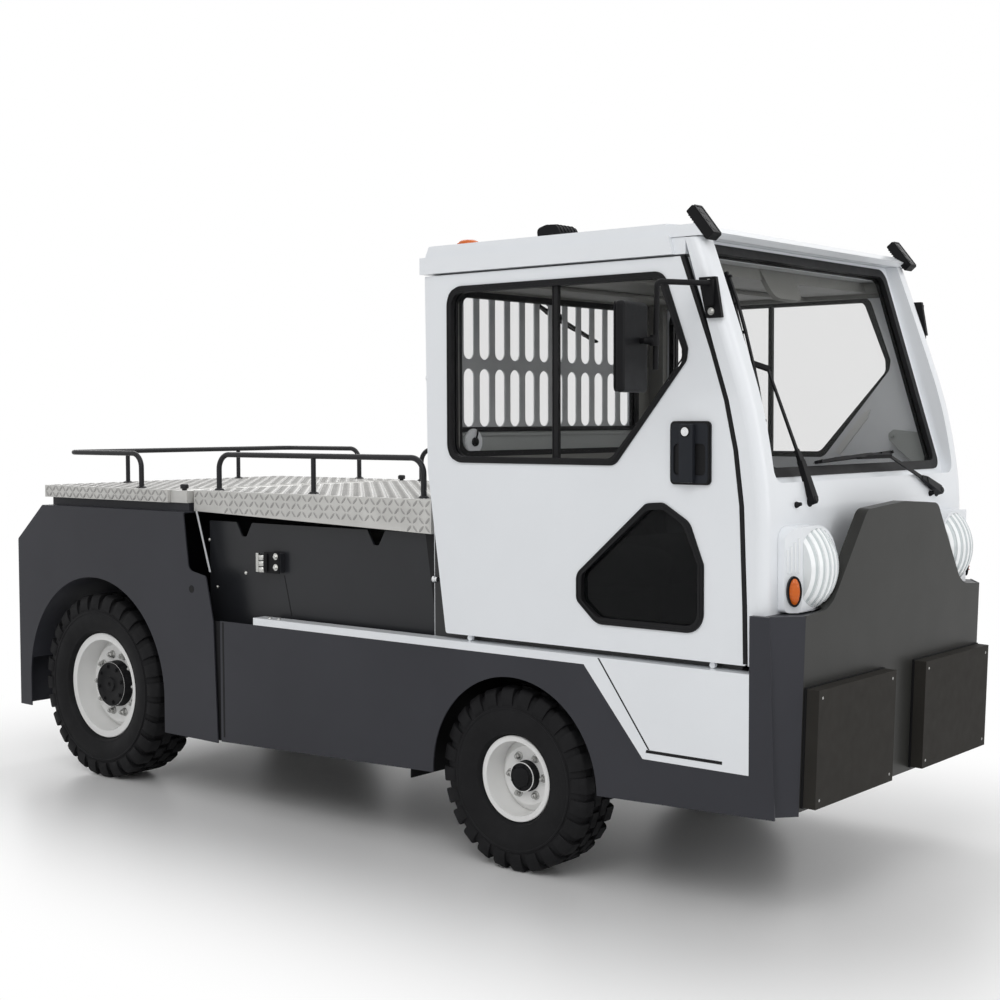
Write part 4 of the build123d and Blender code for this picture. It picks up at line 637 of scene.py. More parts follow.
def lozenges(bm, place, width, height, keep=None, pitch=28.5):
    """Raised bars over a rectangle of the local XY plane, each at a right angle to its neighbours."""
    nx, ny = int(width // pitch), int(height // pitch)
    x0 = (width - (nx - 1) * pitch) / 2
    y0 = (height - (ny - 1) * pitch) / 2
    for i in range(nx):
        for j in range(ny):
            x, y = x0 + i * pitch, y0 + j * pitch
            if keep and not keep(x, y):
                continue
            turn = Matrix.Rotation(math.radians(45 if (i + j) % 2 else -45), 4, "Z")
            bar_place = place @ Matrix.Translation((x, y, 0)) @ turn
            rings = [[bm.verts.new(bar_place @ Vector((share * a, share * b, z))) for a, b in LOZENGE]
                     for share, z in ((1, -0.2), (0.62, 1.8))]
            bm.faces.new(rings[1])
            skin(bm, rings)


def turned(origin, across, up):
    """Local X and Y along two world directions from an origin, local Z out of the plane between them."""
    a, b = Vector(across), Vector(up)
    n = a.cross(b)
    rows = [(a[i], b[i], n[i], origin[i]) for i in range(3)]
    return WORLD @ Matrix(rows + [(0, 0, 0, 1)])


def on_lid_edge(x, y):
    """True over the lid's rim, which gets deeper by 36 towards the cab."""
    return y > 48 - x * 36 / LID_LENGTH


def tread_plates():
    bm = bmesh.new()
    lozenges(bm, turned((-357, -642, DECK_TOP), AHEAD, LEFT), 793, 1284)
    foot = DECK_TOP - REAR_DECK_EDGE
    for x, y, across, width in ((-357, -642, AHEAD, 793), (436, 642, BACK, 793), (-357, 642, RIGHT, 1284)):
        lozenges(bm, turned((x, y, foot), across, UP), width, REAR_DECK_EDGE, pitch=23)
    # The bars take the darker aluminium, which is painted shade.
    piece("rear_deck_tread", bm, TREAD_BAR_SHADE)
    bm = bmesh.new()
    lozenges(bm, turned((545, -604, DECK_TOP), AHEAD, LEFT), LID_LENGTH, 1208)
    foot = DECK_TOP - LID_EDGE
    lozenges(bm, turned((545, -604, foot), AHEAD, UP), LID_LENGTH, LID_EDGE, on_lid_edge, 28)
    left_side = turned((545 + LID_LENGTH, 604, foot), BACK, UP)
    lozenges(bm, left_side, LID_LENGTH, LID_EDGE, lambda x, y: on_lid_edge(LID_LENGTH - x, y), 28)
    piece("deck_lid_tread", bm, TREAD_BAR_SHADE, body="deck_lid")


tread_plates()


# Doors

DOOR_FACE = 650
SEAM = [(2976, 740), (2973, 900), (2962, 1180), (2942, 1337), (2911, 1476), (2865, 1617), (2764, 1888)]
# Rows of (station, height, corner radius)
UPPER_WINDOW = [
    (1869, 1287, 62), (2528, 1287, 40), (2779, 1590, 30), (2783, 1625, 12), (2700, 1848, 48), (1869, 1848, 62),
]
LOWER_WINDOW = [
    (2462, 812, 60), (2838, 812, 60), (2838, 1010, 20), (2790, 1130, 50), (2700, 1184, 40), (2640, 1180, 30),
    (2386, 960, 40), (2386, 880, 30),
]


def drawn_in(rows, distance):
    """A closed outline moved inwards by a distance along the normals of its sides."""
    points = rounded(rows)
    middle = Vector((sum(p[0] for p in points), sum(p[1] for p in points))) / len(points)
    inset = []
    for i, (x, y) in enumerate(points):
        here = Vector((x, y))
        along = Vector(points[(i + 1) % len(points)]) - Vector(points[i - 1])
        normal = Vector((-along.y, along.x)).normalized()
        if normal.dot(middle - here) < 0:
            normal = -normal
        inset.append(tuple(here + normal * distance))
    return inset


def door_details(side, s):
    body = f"door_{side}"
    bm = bmesh.new()
    for rows in (UPPER_WINDOW, LOWER_WINDOW):
        for near, far, proud in ((3, 7, 6.6), (12, 16, 6.2)):
            band(bm, drawn_in(rows, near), drawn_in(rows, far), s * (DOOR_FACE + 4), s * (DOOR_FACE + proud), SIDE_VIEW)
    side_slab(bm, s, (2295, 630, 1304), (2311, 645, 1832), 1.5)
    side_slab(bm, s, (2290, 641, 1304), (2294, 646, 1832))
    seam = [(x - 9, z) for x, z in SEAM] + [(x + 4, z) for x, z in reversed(SEAM)]
    prism(bm, seam, s * (DOOR_FACE + 1.5), s * (DOOR_FACE - 16), SIDE_VIEW)
    piece(f"door_gaskets_{side}", bm, SEAL, 40, body)

    bm = bmesh.new()
    plate = panel(2729, 1239, 2860, 1416, 18)
    rim = panel(2733, 1243, 2856, 1412, 15)
    hollow = panel(2741, 1264, 2848, 1354, 16)
    band(bm, rim, hollow, s * 656, s * 662, SIDE_VIEW)
    edge = bmesh.new()
    band(edge, plate, rim, s * 655.5, s * 661, SIDE_VIEW)
    prism(edge, hollow, s * 656, s * 657.5, SIDE_VIEW)
    spun(edge, [(0, 17), (1.5, 16.5)], outwards(s, 2790, 676.4, 1388), 28)
    piece(f"door_handle_edge_{side}", edge, SEAL, 40, body)
    side_slab(bm, s, (2767, 660, 1243), (2815, 677, 1410), 7)
    piece(f"door_handle_{side}", bm, RECESS, 40, body)
    bm = bmesh.new()
    lock = outwards(s, 2790, 677, 1388)
    spun(bm, [(0, 13), (2.5, 12.4), (2.5, 9), (1.6, 8.4)], lock, 28)
    slab(bm, (-1.2, -6, 1), (1.2, 6, 2.4), lock)
    for x, z in ((1802, 905), (1780, 1560)):
        spun(bm, [(-8, 9), (0, 9), (2, 12), (9, 12), (11, 9)], facing(x, s * 636, z, BACK), 20)
    piece(f"door_lock_{side}", bm, CHROME, 40, body)
    bm = bmesh.new()
    rows = [(2573, 1305, 5), (2594, 1297, 5), (2700, 1425, 6), (2712, 1458, 4), (2696, 1452, 4), (2672, 1432, 6)]
    prism(bm, rounded(rows), s * 620.4, s * 615, SIDE_VIEW)
    for x, z in ((2589, 1313), (2698, 1444)):
        spun(bm, [(-1, 6), (0.8, 5)], facing(x, s * 615, z, (0, -s, 0)), 20)
    piece(f"door_stay_{side}", bm, RIM, 40, body)


for name, s in SIDES:
    door_details(name, s)


# Front end

# Height that the front plate leans about
PLATE_PIVOT = 879
PLATE = leaning(3126, 0, PLATE_PIVOT, math.radians(1.88)) @ Matrix.Translation((0, 0, -PLATE_PIVOT))


def front_fastenings():
    bm = bmesh.new()
    for s in (-1, 1):
        for y in (-553, -124):
            for z in (366, 654):
                spot = PLATE @ Matrix.Translation((42.2, s * y, z)) @ Matrix.Rotation(math.pi / 2, 4, "Y")
                lathe(bm, [(-0.5, 0), (-0.5, 6.5), (1.5, 6), (3, 4), (3.4, 0)], spot, 20)
    piece("pad_bolts", bm, NUT_STEEL, 40)
    bm = bmesh.new()
    for s in (-1, 1):
        prism(bm, panel(s * -578, 340, s * -99, 680, 3), 0.3, 7, PLATE @ FRONT_VIEW)
    piece("pad_backing_plates", bm, BLACK)


front_fastenings()

# Rows of (name, pivot, arm end, blade start, blade end, direction out of the glass)
WIPERS = [
    ("wiper_right", (3040, -400, 1190), (2938, -496, 1561), (2829, -524, 1845), (2992, -556, 1322), (1, 0, 0.3)),
    ("wiper_left", (3040, 445, 1187), (3014, 120, 1303), (3000, -300, 1296), (2996, 196, 1316), (1, 0, 0.3)),
    ("wiper_rear", (1744, -40, 1879), (1738, 130, 1800), (1740, -20, 1830), (1740, 330, 1712), BACK),
]
# Rows of (share of the blade's length, height of the bow there)
BOWS = [(0.03, 6), (0.18, 14), (0.34, 17), (0.5, 17), (0.66, 14), (0.82, 6), (0.97, 6)]


def wiper(name, pivot, arm_end, blade_a, blade_b, up):
    bm = bmesh.new()
    a, b = Vector(pivot), Vector(arm_end)
    rise = Vector(up).normalized()
    spun(bm, [(-26, 17), (-8, 17), (-4, 14), (14, 13), (18, 9)], facing(*pivot, up), 24)
    hip = a.lerp(b, 0.30)
    bar(bm, a + rise * 6, hip + rise * 12, 30, 20, 22, 16, up)
    bar(bm, hip + rise * 12, hip.lerp(b, 0.12) + rise * 11, 24, 12, 13, 10, up)
    bar(bm, hip.lerp(b, 0.1) + rise * 11, b + rise * 14, 12, 6, 10, 5, up)
    p, q = Vector(blade_a), Vector(blade_b)
    along = (q - p).normalized()
    bar(bm, p, q, 9, 11, up=up)
    bar(bm, p - rise * 6, q - rise * 6, 2, 8, up=up)
    for k, ((t, low), (u, high)) in enumerate(zip(BOWS, BOWS[1:])):
        bar(bm, p.lerp(q, t) + rise * low, p.lerp(q, u) + rise * high, 11 if k % 2 else 9, 6, up=up)
    for t, height in BOWS:
        spot = p.lerp(q, t)
        bar(bm, spot - rise * 2, spot + rise * 14, 9, 7, up=along)
    bar(bm, p.lerp(q, 0.5) + rise * 4, b + rise * 16, 12, 14, up=along)
    return piece(name, bm, DARK, 35)


wiper_pieces = [wiper(*row) for row in WIPERS]
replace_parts(wiper_pieces[0], "wipers")


def washer_nozzles():
    bm = bmesh.new()
    for y in (-480, 395):
        spun(bm, [(-6, 9), (3, 9), (9, 6), (16, 5)], facing(3036, y, 1180, (1, 0, 0.2)), 16)
    piece("washer_nozzles", bm, DARK, 40)


washer_nozzles()


# Battery side and sills

# Rows of (outline, inner depth, outer depth)
SILL_LINES = [
    ([(2652, 452), (2912, 452), (2912, 461), (2655, 461)], 669, 670.7),
    ([(2478, 714), (2484, 714), (2666, 462), (2660, 462)], 669, 670.4),
    ([(778, 262), (787, 262), (785, 686), (776, 686)], 669, 670.4),
    ([(1008, 866), (1012, 866), (1050, 720), (1045, 720)], 574, 575.6),
    ([(1699, 1060), (1752, 1060), (1752, 737), (1749, 737)], 574, 575.8),
]


def side_details(side, s):
    bm = bmesh.new()
    side_slab(bm, s, (930, 597.6, 872), (1010, 601, 949), 1.5)
    side_slab(bm, s, (934, 600, 878), (952, 607, 943), 2)
    piece(f"catch_body_{side}", bm, DARK, 40)
    bm = bmesh.new()
    side_slab(bm, s, (892, 597.6, 874), (906, 606.4, 943), 1)
    for z in (882, 904, 926):
        spun(bm, [(-9, 15.4), (-7, 16.6), (7, 16.6), (9, 15.4)], facing(911, s * 589, z, UP), 24)
    for z in (895, 934):
        bolt(bm, outwards(s, 993, 600.6, z), 8)
    for x, z in ((597, 976), (802, 862), (640, 800)):
        bolt(bm, outwards(s, x, 575, z), 4.5)
    for x in (1004, 1051):
        spun(bm, [(-0.4, 8), (2, 7.4), (2.6, 4), (1.2, 3)], facing(x, s * 641, 716.2, UP), 18)
    piece(f"battery_side_bolts_{side}", bm, STEEL, 40)
    bm = bmesh.new()
    for outline, low, high in SILL_LINES:
        prism(bm, outline, s * low, s * high, SIDE_VIEW)
    piece(f"sill_lines_{side}", bm, SEAL)
    bm = bmesh.new()
    spun(bm, [(-0.3, 15), (0.8, 14.5), (0.8, 11), (0.3, 10.5)], outwards(s, 605, 669.7, 797), 28)
    piece(f"fender_hole_{side}", bm, SEAL, 40)
    bm = bmesh.new()
    prism(bm, [(551, 1091), (557, 1091), (634, 857), (628, 857)], s * 600, s * 604, SIDE_VIEW)
    piece(f"fender_return_{side}", bm, GUARD)
    # A near-black sheet behind the open gap between fender and skirt, where there is only shade: painted shade.
    bm = bmesh.new()
    side_slab(bm, s, (724, 658, 245), (776, 662, 687), 0.5)
    piece(f"skirt_gap_shade_{side}", bm, DARK)


for name, s in SIDES:
    side_details(name, s)


# Inside the cab

def interior():
    bm = bmesh.new()
    for x0, x1 in ((2060, 2110), (2420, 2470)):
        slab(bm, (x0, -580, 1840), (x1, 580, 1853), bevel=4)
    # The roof beams take the cab inside's grey, which is painted shade.
    piece("roof_beams", bm, INSIDE_SHADE)
    bm = bmesh.new()
    for s in (-1, 1):
        rows = [(2797, 1372, 12), (2816, 1386, 8), (2948, 1373, 4), (2978, 1268, 4), (2890, 1272, 10), (2800, 1350, 12)]
        prism(bm, rounded(rows), s * 583, s * 577, SIDE_VIEW)
        bolt(bm, facing(2815, s * 577, 1366, (0, -s, 0)), 7)
        side_slab(bm, s, (2940, 577, 1276), (2946, 612, 1366), 1)
    piece("screen_brackets", bm, BRACKET, 40)
    bm = bmesh.new()
    slab(bm, (1776.4, -604, 1266), (1784, 604, 1384), bevel=2)
    slab(bm, (1784, -596, 1368), (1789, 596, 1378), bevel=1.5)
    piece("rear_window_foot", bm, BRACKET, 40)
    bm = bmesh.new()
    slab(bm, (1776.4, -604, 1384), (1792, 604, 1400), bevel=4)
    knob = facing(1798, -436, 1350, AHEAD)
    spun(bm, [(0, 15), (8, 14), (12, 9)], knob, 24)
    tube(bm, [(1802, -436, 1350), (1806, -430, 1376), (1800, -420, 1396)], 3)
    piece("rear_window_seal", bm, SEAL, 40)
    bm = bmesh.new()
    spun(bm, [(-14.5, 44), (-4, 44), (0, 40), (0.5, 15)], knob, 40)
    piece("rear_wiper_motor", bm, GUARD, 40)
    bm = bmesh.new()
    slab(bm, (2858, 60, 1166), (2955, 500, 1206), bevel=10)
    slab(bm, (2868, 190, 1200), (2946, 400, 1258), bevel=16)
    for y in (-500, -420, -340, -60, 0):
        slab(bm, (2872, y - 16, 1190), (2900, y + 16, 1222), bevel=3)
    for y, lean in ((232, -1), (350, 1)):
        bar(bm, (2700, y, 1138), (2690, y + lean * 110, 1170), 16, 12, 10, 8, UP)
    for y in (170, 300):
        slab(bm, (2742, y - 45, 745), (2762, y + 45, 830), bevel=6)
        bar(bm, (2752, y, 790), (2800, y, 930), 14, 10, up=LEFT)
    piece("dash_controls", bm, DARK, 40)
    bm = bmesh.new()
    spun(bm, [(0, 34), (4, 34), (5, 31), (2, 30)], facing(2864, 295, 1231, (-1, 0, 0.25)), 36)
    piece("dash_gauge", bm, CHROME, 40)
    bm = bmesh.new()
    visor = rounded([(-100, 0, 20), (100, 0, 20), (90, -110, 45), (-90, -110, 45)])
    prism(bm, visor, -7, 7, leaning(2702, -40, 1890, -0.5) @ FRONT_VIEW)
    # The visor takes the cab inside's grey, which is painted shade.
    piece("sun_visor", bm, INSIDE_SHADE, 40)


interior()


# Padded seats

def crowned(bm, lo, hi, crown, bulge):
    """A cushion: a box whose faces are cut into a grid, swollen most in the middle of each face."""
    count = (10, 10, 4)
    size = [hi[i] - lo[i] for i in range(3)]
    made = {}

    def vert(i, j, k):
        if (i, j, k) not in made:
            u = Vector((2 * i / count[0] - 1, 2 * j / count[1] - 1, 2 * k / count[2] - 1))
            spot = []
            for n, c in enumerate(u):
                others = u[(n + 1) % 3] ** 4 + u[(n + 2) % 3] ** 4
                spot.append(lo[n] + size[n] * (c * math.sqrt(max(0, 1 - 0.10 * others)) + 1) / 2)
            spot[2] += crown * (1 - u.x ** 4) * (1 - u.y ** 4) * u.z
            spot[0] += bulge * u.x * (1 - u.z ** 2) * (1 - u.y ** 4)
            spot[1] += bulge * u.y * (1 - u.z ** 2) * (1 - u.x ** 4)
            made[(i, j, k)] = bm.verts.new(spot)
        return made[(i, j, k)]
    for axis in range(3):
        a, b = [n for n in range(3) if n != axis]
        for end in (0, count[axis]):
            for i in range(count[a]):
                for j in range(count[b]):
                    face = []
                    for di, dj in ((0, 0), (1, 0), (1, 1), (0, 1)):
                        key = [0, 0, 0]
                        key[axis], key[a], key[b] = end, i + di, j + dj
                        face.append(vert(*key))
                    bm.faces.new(face)


def swollen(obj, cap):
    """Inflates a closed pad by cloth pressure, with no point moved further than the cap, and keeps the result."""
    scene = bpy.context.scene

    def settled():
        return bpy.data.meshes.new_from_object(obj.evaluated_get(bpy.context.evaluated_depsgraph_get()))
    remesh = obj.modifiers.new("remesh", "REMESH")
    remesh.mode = "VOXEL"
    remesh.voxel_size = 0.009
    remesh.use_smooth_shade = True
    base = settled()
    obj.modifiers.clear()
    obj.data = base
    cloth = obj.modifiers.new("cloth", "CLOTH")
    cloth.settings.quality = 4
    cloth.settings.use_pressure = True
    cloth.settings.uniform_pressure_force = 4
    cloth.settings.effector_weights.gravity = 0
    for step in range(1, 21):
        scene.frame_set(step)
    puffed = settled()
    obj.modifiers.clear()
    scene.frame_set(1)
    for v in puffed.vertices:
        shift = v.co - base.vertices[v.index].co
        if shift.length > cap:
            v.co = base.vertices[v.index].co + shift.normalized() * cap
    obj.data = puffed


def cushion(name, place, lo, hi, crown, bulge, channels):
    """A padded piece, swollen in its cover, with sewn channels across its local X."""
    bm = bmesh.new()
    inset = 7
    crowned(bm, [n + inset for n in lo], [n - inset for n in hi], crown, bulge)
    bmesh.ops.recalc_face_normals(bm, faces=bm.faces)
    bmesh.ops.subdivide_edges(bm, edges=bm.edges, cuts=2, use_grid_fill=True, smooth=0.6)
    bmesh.ops.transform(bm, matrix=place, verts=bm.verts)
    obj = piece(name, bm, CLOTH)
    swollen(obj, 0.010)
    back = place.inverted()
    channel_depth, channel_width, seam_fade = 7.0, 7.0, 40
    for v in obj.data.vertices:
        spot = back @ v.co
        share = min(1.0, max(0.0, (spot.z - lo[2]) / (hi[2] - lo[2])))
        dip = sum(math.exp(-((spot.x - c) / channel_width) ** 2) for c in channels)
        edge = min(spot.y - lo[1], hi[1] - spot.y)
        spot.z -= channel_depth * dip * share ** 4 * min(1.0, max(0.0, edge / seam_fade))
        v.co = place @ spot
    obj.data.shade_smooth()
    soften = obj.modifiers.new("soften", "SUBSURF")
    soften.levels = 1
    soften.render_levels = 1


def seat(side, s):
    y = s * 290
    bm = bmesh.new()
    slab(bm, (1962, y - 178, 731), (2328, y + 178, 860), bevel=10)
    slab(bm, (1950, y - 196, 866), (2360, y + 196, 878), bevel=2)
    for rail in (-170, 170):
        slab(bm, (1950, y + rail - 12, 878), (2372, y + rail + 12, 903), bevel=3)
        bar(bm, (1972, y + rail, 890), (1872, y + rail, 1040), 30, 8, up=LEFT)
    slab(bm, (1852, y - 205, 1012), (1862, y + 205, 1262), bevel=3)
    tube(bm, [(2372, y - 120, 886), (2396, y - 120, 884), (2396, y + 120, 884), (2372, y + 120, 886)], 6)
    base = piece(f"seat_frame_{side}", bm, BLACK, 40)
    place = placed(2160, y, 905)
    cushion(f"seat_cushion_{side}", place, (-226, -222, 0), (226, 222, 92), 12, 6, (-110, 0, 110))
    place = leaning(1864, y, 1138, math.pi / 2)
    cushion(f"seat_back_{side}", place, (-126, -212, 0), (126, 212, 54), 7, 5, (-60, 10, 80))
    return base


bases = [seat(name, s) for name, s in SIDES]
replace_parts(bases[0], "seats")


# Lamps and fittings

def ellipse(a, b, steps=36):
    turns = [2 * math.pi * k / steps for k in range(steps)]
    return [(a * math.cos(t), b * math.sin(t)) for t in turns]


def marker_lamp(side, s):
    """Dark oval base and a ribbed amber cap on the housing's chamfer."""
    place = placed(3076, s * 565, 944) @ Matrix.Rotation(math.radians(45 * s), 4, "Z") @ FRONT_VIEW
    bm = bmesh.new()
    band(bm, ellipse(21, 43), ellipse(15.5, 37), 0.5, 13, place)
    prism(bm, ellipse(20, 42), 0.3, 3, place)
    piece(f"marker_base_{side}", bm, DARK, 40)
    bm = bmesh.new()
    rings = [[bm.verts.new(place @ Vector((x * share, y * share, depth))) for x, y in ellipse(15, 36.5)]
             for share, depth in ((1.0, 2), (1.0, 13), (0.86, 17), (0.5, 19.5))]
    skin(bm, rings)
    bm.faces.new(rings[-1])
    for z in (-22, -11, 0, 11, 22):
        reach = 13 * math.sqrt(1 - (z / 38) ** 2)
        slab(bm, (-reach, z - 1, 14), (reach, z + 1, 20), place)
    cap = piece(f"marker_cap_{side}", bm, AMBER, 40)
    bm = bmesh.new()
    for k in (-17, -6, 5, 16):
        slab(bm, (-s * k - 3, 50, -1), (-s * k + 3, 132 + k, 3.2), place, bevel=1.6)
    piece(f"chamfer_flutes_{side}", bm, LENS, 40)
    return cap


caps = [marker_lamp(name, s) for name, s in SIDES]
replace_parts(caps[0], "marker_lamps")


def roof_fittings():
    bm = bmesh.new()
    place = facing(1800, -465, 1981.4, UP)
    spun(bm, [(0, 42), (7, 42), (9, 40)], place, 40)
    piece("beacon_base", bm, DARK, 40)
    bm = bmesh.new()
    spun(bm, [(8.6, 37), (24, 36.5), (31, 32), (35.5, 22), (37, 10)], place, 40)
    for k in range(18):
        slab(bm, (36, -1.2, 10), (38, 1.2, 25), place @ Matrix.Rotation(2 * math.pi * k / 18, 4, "Z"))
    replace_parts(piece("beacon_dome", bm, AMBER, 50), "beacon")

    bm = bmesh.new()
    place = placed(2190, -482, 1981)
    profile = rounded([(-44, 8, 6), (-50, 40, 18), (-10, 51, 30), (30, 46, 16), (44, 20, 8), (40, 8, 6)])
    prism(bm, profile, -50, 50, place @ SWAP_YZ)
    fin = rounded([(-20, 40, 8), (-8, 52, 10), (28, 50, 12), (46, 24, 6), (30, 20, 4)])
    for y in (-36, -18, 0, 18, 36):
        prism(bm, fin, y - 1.5, y + 1.5, place @ SWAP_YZ)
    spun(bm, [(0.4, 30), (4, 30), (4, 16), (12, 14)], place, 28)
    tube(bm, [(2240, -482, 1995), (2256, -476, 1990), (2266, -470, 1985), (2272, -466, 1982.5)], 3.5)
    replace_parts(piece("roof_lamp", bm, DARK, 40), "roof_vent")


roof_fittings()


def work_lamp_details():
    bm = bmesh.new()
    glow = bmesh.new()
    place = leaning(2863, 0, 1943, math.radians(-38.7))
    front = place @ FRONT_VIEW
    for s in (-1, 1):
        y0, y1 = sorted((s * 602, s * 648))
        for z in range(14, 100, 9):
            slab(bm, (-31.5, y0 + 4, z), (-27.5, y1 - 4, z + 3.5), place)
        inner = panel(y0 + 6, 8, y1 - 6, 102, 4)
        band(bm, panel(y0 + 1, 2, y1 - 1, 108, 5), inner, -1, 2.5, front)
        prism(glow, inner, -0.6, 1.4, front)
        for z in (25, 55, 85):
            spun(glow, [(1, 12), (2.2, 11)], front @ Matrix.Translation(((y0 + y1) / 2, z, 0)), 20)
    piece("work_lamp_frames", bm, DARK, 40)
    piece("work_lamp_lenses", glow, SMOKE, 40)


work_lamp_details()


def mirror_details(side, s):
    bm = bmesh.new()
    for x, z in ((2866, 1724), (2858, 1804)):
        bolt(bm, outwards(s, x, 662.6, z), 7)
    piece(f"mirror_bolts_{side}", bm, STEEL, 40)
    bm = bmesh.new()
    spun(bm, [(-15, 13), (15, 13)], facing(2785, s * 822, 1640, UP), 24)
    spun(bm, [(0, 15), (6, 15), (12, 11), (26, 10)], facing(2782, s * 822, 1640, (-1, s * 0.6, 0)), 20)
    inner = panel(-78, -115, 78, 115, 14)
    back = placed(2735, s * 862, 1622) @ Matrix.Rotation(math.radians(-12 * s), 4, "Z") @ FRONT_VIEW
    band(bm, panel(-85.4, -123, 85.4, 123, 16), inner, -16.5, -12, back)
    piece(f"mirror_joint_{side}", bm, DARK, 40)
    bm = bmesh.new()
    prism(bm, inner, -15, -13, back)
    piece(f"mirror_glass_{side}", bm, MIRROR)


for name, s in SIDES:
    mirror_details(name, s)


def rear_details():
    bm = bmesh.new()
    lens = bmesh.new()
    amber = bmesh.new()
    rear = placed(-535, 0, 0) @ REAR_VIEW
    for s in (-1, 1):
        y0, y1 = sorted((s * 520, s * 640))
        band(bm, panel(y0, 660, y1, 760, 8), panel(y0 + 7, 667, y1 - 7, 753, 6), -6, 3.5, rear)
        for low, high, target in ((668, 694, amber), (697, 752, lens)):
            slab(target, (y0 + 8, low, -3), (y1 - 8, high, 2), rear, bevel=2)
            for k in range(9):
                y = y0 + 14 + k * 11.5
                slab(target, (y, low + 3, 1.5), (y + 2, high - 3, 3), rear)
    piece("rear_lamp_frames", bm, DARK, 40)
    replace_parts(piece("rear_lamp_red", lens, RED, 40), "rear_lamps")
    piece("rear_lamp_amber", amber, AMBER, 40)
    bm = bmesh.new()
    pin = [(-2, 13), (4, 17), (6, 16.6), (240, 16.6), (240, 28), (247, 28), (249, 26)]
    spun(bm, pin, facing(-567, 0, 290, UP), 28)
    loop = [(-16, 545), (-20, 575), (-8, 598), (8, 598), (20, 575), (16, 545)]
    tube(bm, [(-567, y, z) for y, z in loop], 4.5)
    for y in (-88, 88):
        for z in (300, 360, 420, 480, 540):
            bolt(bm, facing(-531.4, y, z, BACK), 9)
    for s in (-1, 1):
        for z in (330, 480, 620, 820):
            bolt(bm, facing(-513, s * 640, z, BACK), 6)
    piece("hitch_pin_and_bolts", bm, STEEL, 40)


rear_details()


def rail_feet():
    """Welded flanges under the rails, and the knobs beside the lid's hinge."""
    bm = bmesh.new()
    lid = bmesh.new()
    for s in (-1, 1):
        for x, y in ((225, 600), (-250, 305)):
            lathe(bm, [(0.3, 0), (0.3, 21), (4, 20), (9, 12), (9, 10)], facing(x, s * y, DECK_TOP, UP), 24)
        for x in (640, 1150, 1680):
            lathe(lid, [(0.3, 0), (0.3, 19), (4, 18), (9, 12), (9, 10)], facing(x, s * 560, DECK_TOP, UP), 24)
        spun(bm, [(0, 9), (5, 9), (7, 16), (20, 16), (24, 12)], facing(485, s * 600, DECK_TOP - 2, UP), 20)
    piece("rear_rail_feet", bm, RAIL, 40)
    piece("lid_rail_feet", lid, RAIL, 40, "deck_lid")


rail_feet()


def steering_grip():
    bm = bmesh.new()
    ring = leaning(2660, 290, 1160, math.radians(62 - 90)) @ Matrix.Translation((0, 0, 5))
    wheel_radius, grip_radius = 170, 13.4
    turns = [2 * math.pi * k / 14 for k in range(15)]
    rows = [(grip_radius * math.sin(t), wheel_radius + grip_radius * math.cos(t)) for t in turns]
    lathe(bm, rows, ring, 64)
    for k in range(48):
        turn = ring @ Matrix.Rotation(2 * math.pi * k / 48, 4, "Z")
        slab(bm, (158, -3, -13.6), (182, 3, -11.6), turn, bevel=0.8)
    spun(bm, [(20, 36), (26, 40), (34, 36), (38, 24)], ring, 32)
    piece("steering_grip", bm, DARK, 40, "steering_wheel")


steering_grip()


# Floor, light and camera

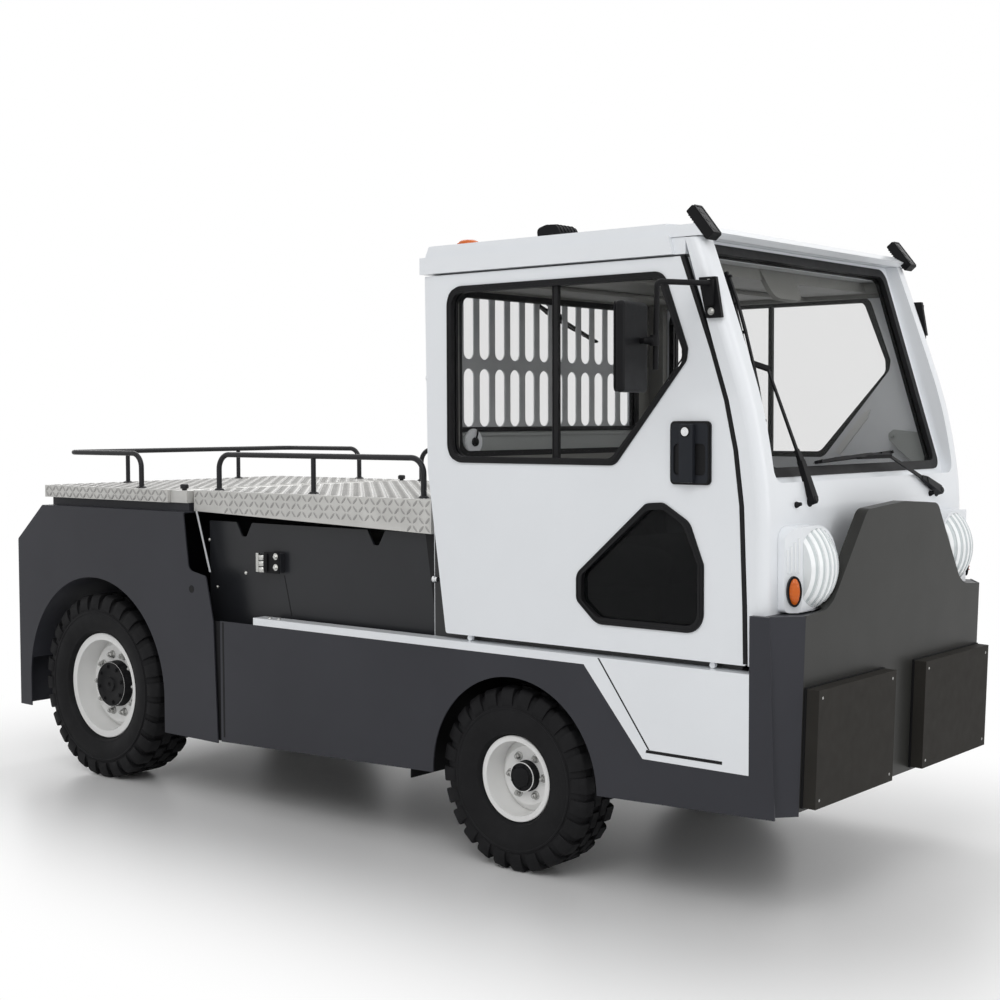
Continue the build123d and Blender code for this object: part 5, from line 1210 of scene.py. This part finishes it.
def stage():
    """A pale floor that fades to white, for the camera alone, away from the object."""
    bm = bmesh.new()
    bmesh.ops.create_grid(bm, x_segments=1, y_segments=1, size=30)
    mesh = bpy.data.meshes.new("floor")
    bm.to_mesh(mesh)
    bm.free()
    floor = linked("floor", mesh)
    floor.location = (0, 0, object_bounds()[0][2] - 0.0005)
    mat, tree, bsdf = shader("pale_floor", (0.90, 0.90, 0.90), 0.35)
    tinted(tree, bsdf, noise(tree, 0.8), (0.90, 0.90, 0.90), 0.01)
    reach = coords(tree)
    for operation, numbers in (
            ("ABSOLUTE", (0, 0, 0)), ("SUBTRACT", (1.5, 0.3, 0)), ("MAXIMUM", (0, 0, 0)), ("LENGTH", (0, 0, 0))):
        node = added(tree, "VectorMath", {0: reach, 1: numbers}, operation=operation)
        reach = node.outputs["Value" if operation == "LENGTH" else "Vector"]
    inputs = {"From Min": 0.5, "From Max": 1.7, "Value": reach}
    fade = added(tree, "MapRange", inputs, interpolation_type="SMOOTHSTEP").outputs["Result"]
    seen = worked(tree, "MULTIPLY", fade, added(tree, "LightPath", {}).outputs["Is Camera Ray"])
    white = added(tree, "Emission", {}).outputs[0]
    mix = added(tree, "MixShader", {0: seen, 1: bsdf.outputs[0], 2: white})
    tree.links.new(mix.outputs[0], tree.nodes["Material Output"].inputs["Surface"])
    mesh.materials.append(mat)
    floor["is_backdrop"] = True


def sky():
    """White where the camera or a reflection sees it, softer where it lights the object."""
    world = bpy.data.worlds.new("soft_white")
    bpy.context.scene.world = world
    world.use_nodes = True
    tree = world.node_tree
    back = tree.nodes["Background"]
    back.inputs["Color"].default_value = (1, 1, 1, 1)
    rays = added(tree, "LightPath", {})
    seen = rays.outputs["Is Camera Ray"]
    for name in ("Is Glossy Ray", "Is Transmission Ray"):
        seen = worked(tree, "MAXIMUM", seen, rays.outputs[name])
    tree.links.new(level(tree, seen, 0.55, 1.0), back.inputs["Strength"])


def lamp(name, place, target, size, power):
    data = bpy.data.lights.new(name, "AREA")
    data.shape = "RECTANGLE"
    data.size, data.size_y = size
    data.energy = power
    obj = linked(name, data)
    obj.location = place
    obj.rotation_euler = (Vector(target) - Vector(place)).to_track_quat("-Z", "Y").to_euler()


def camera():
    """The photograph's view: 39.8 degrees round from the right side, 2.9 degrees down."""
    azimuth = 0.694401
    pitch = 0.050103
    roll = -0.003155
    turn = Matrix.Rotation(azimuth, 4, "Z") @ Matrix.Rotation(math.pi / 2 - pitch, 4, "X")
    data = bpy.data.cameras.new("camera")
    data.sensor_width = 36
    data.lens = 57.344
    data.clip_end = 200
    obj = linked("camera", data)
    place = Matrix.Translation((5.2730 + REAR_AXLE, -4.4773, 1.4223))
    obj.matrix_world = place @ turn @ Matrix.Rotation(roll, 4, "Z")
    bpy.context.scene.camera = obj


stage()
sky()
lamp("key", (3.5, -5.5, 6.0), (0.3, 0, 0.8), (5, 4), 150)
lamp("fill", (6.5, 1.0, 3.0), (0.8, 0, 0.9), (4, 4), 60)
lamp("top", (-1.0, 2.5, 6.0), (0.0, 0, 0.8), (6, 4), 80)
lamp("rear", (-6.0, 3.0, 3.5), (-0.5, 0, 0.8), (4, 3), 70)
camera()

view_settings = bpy.context.scene.view_settings
view_settings.view_transform = "Standard"
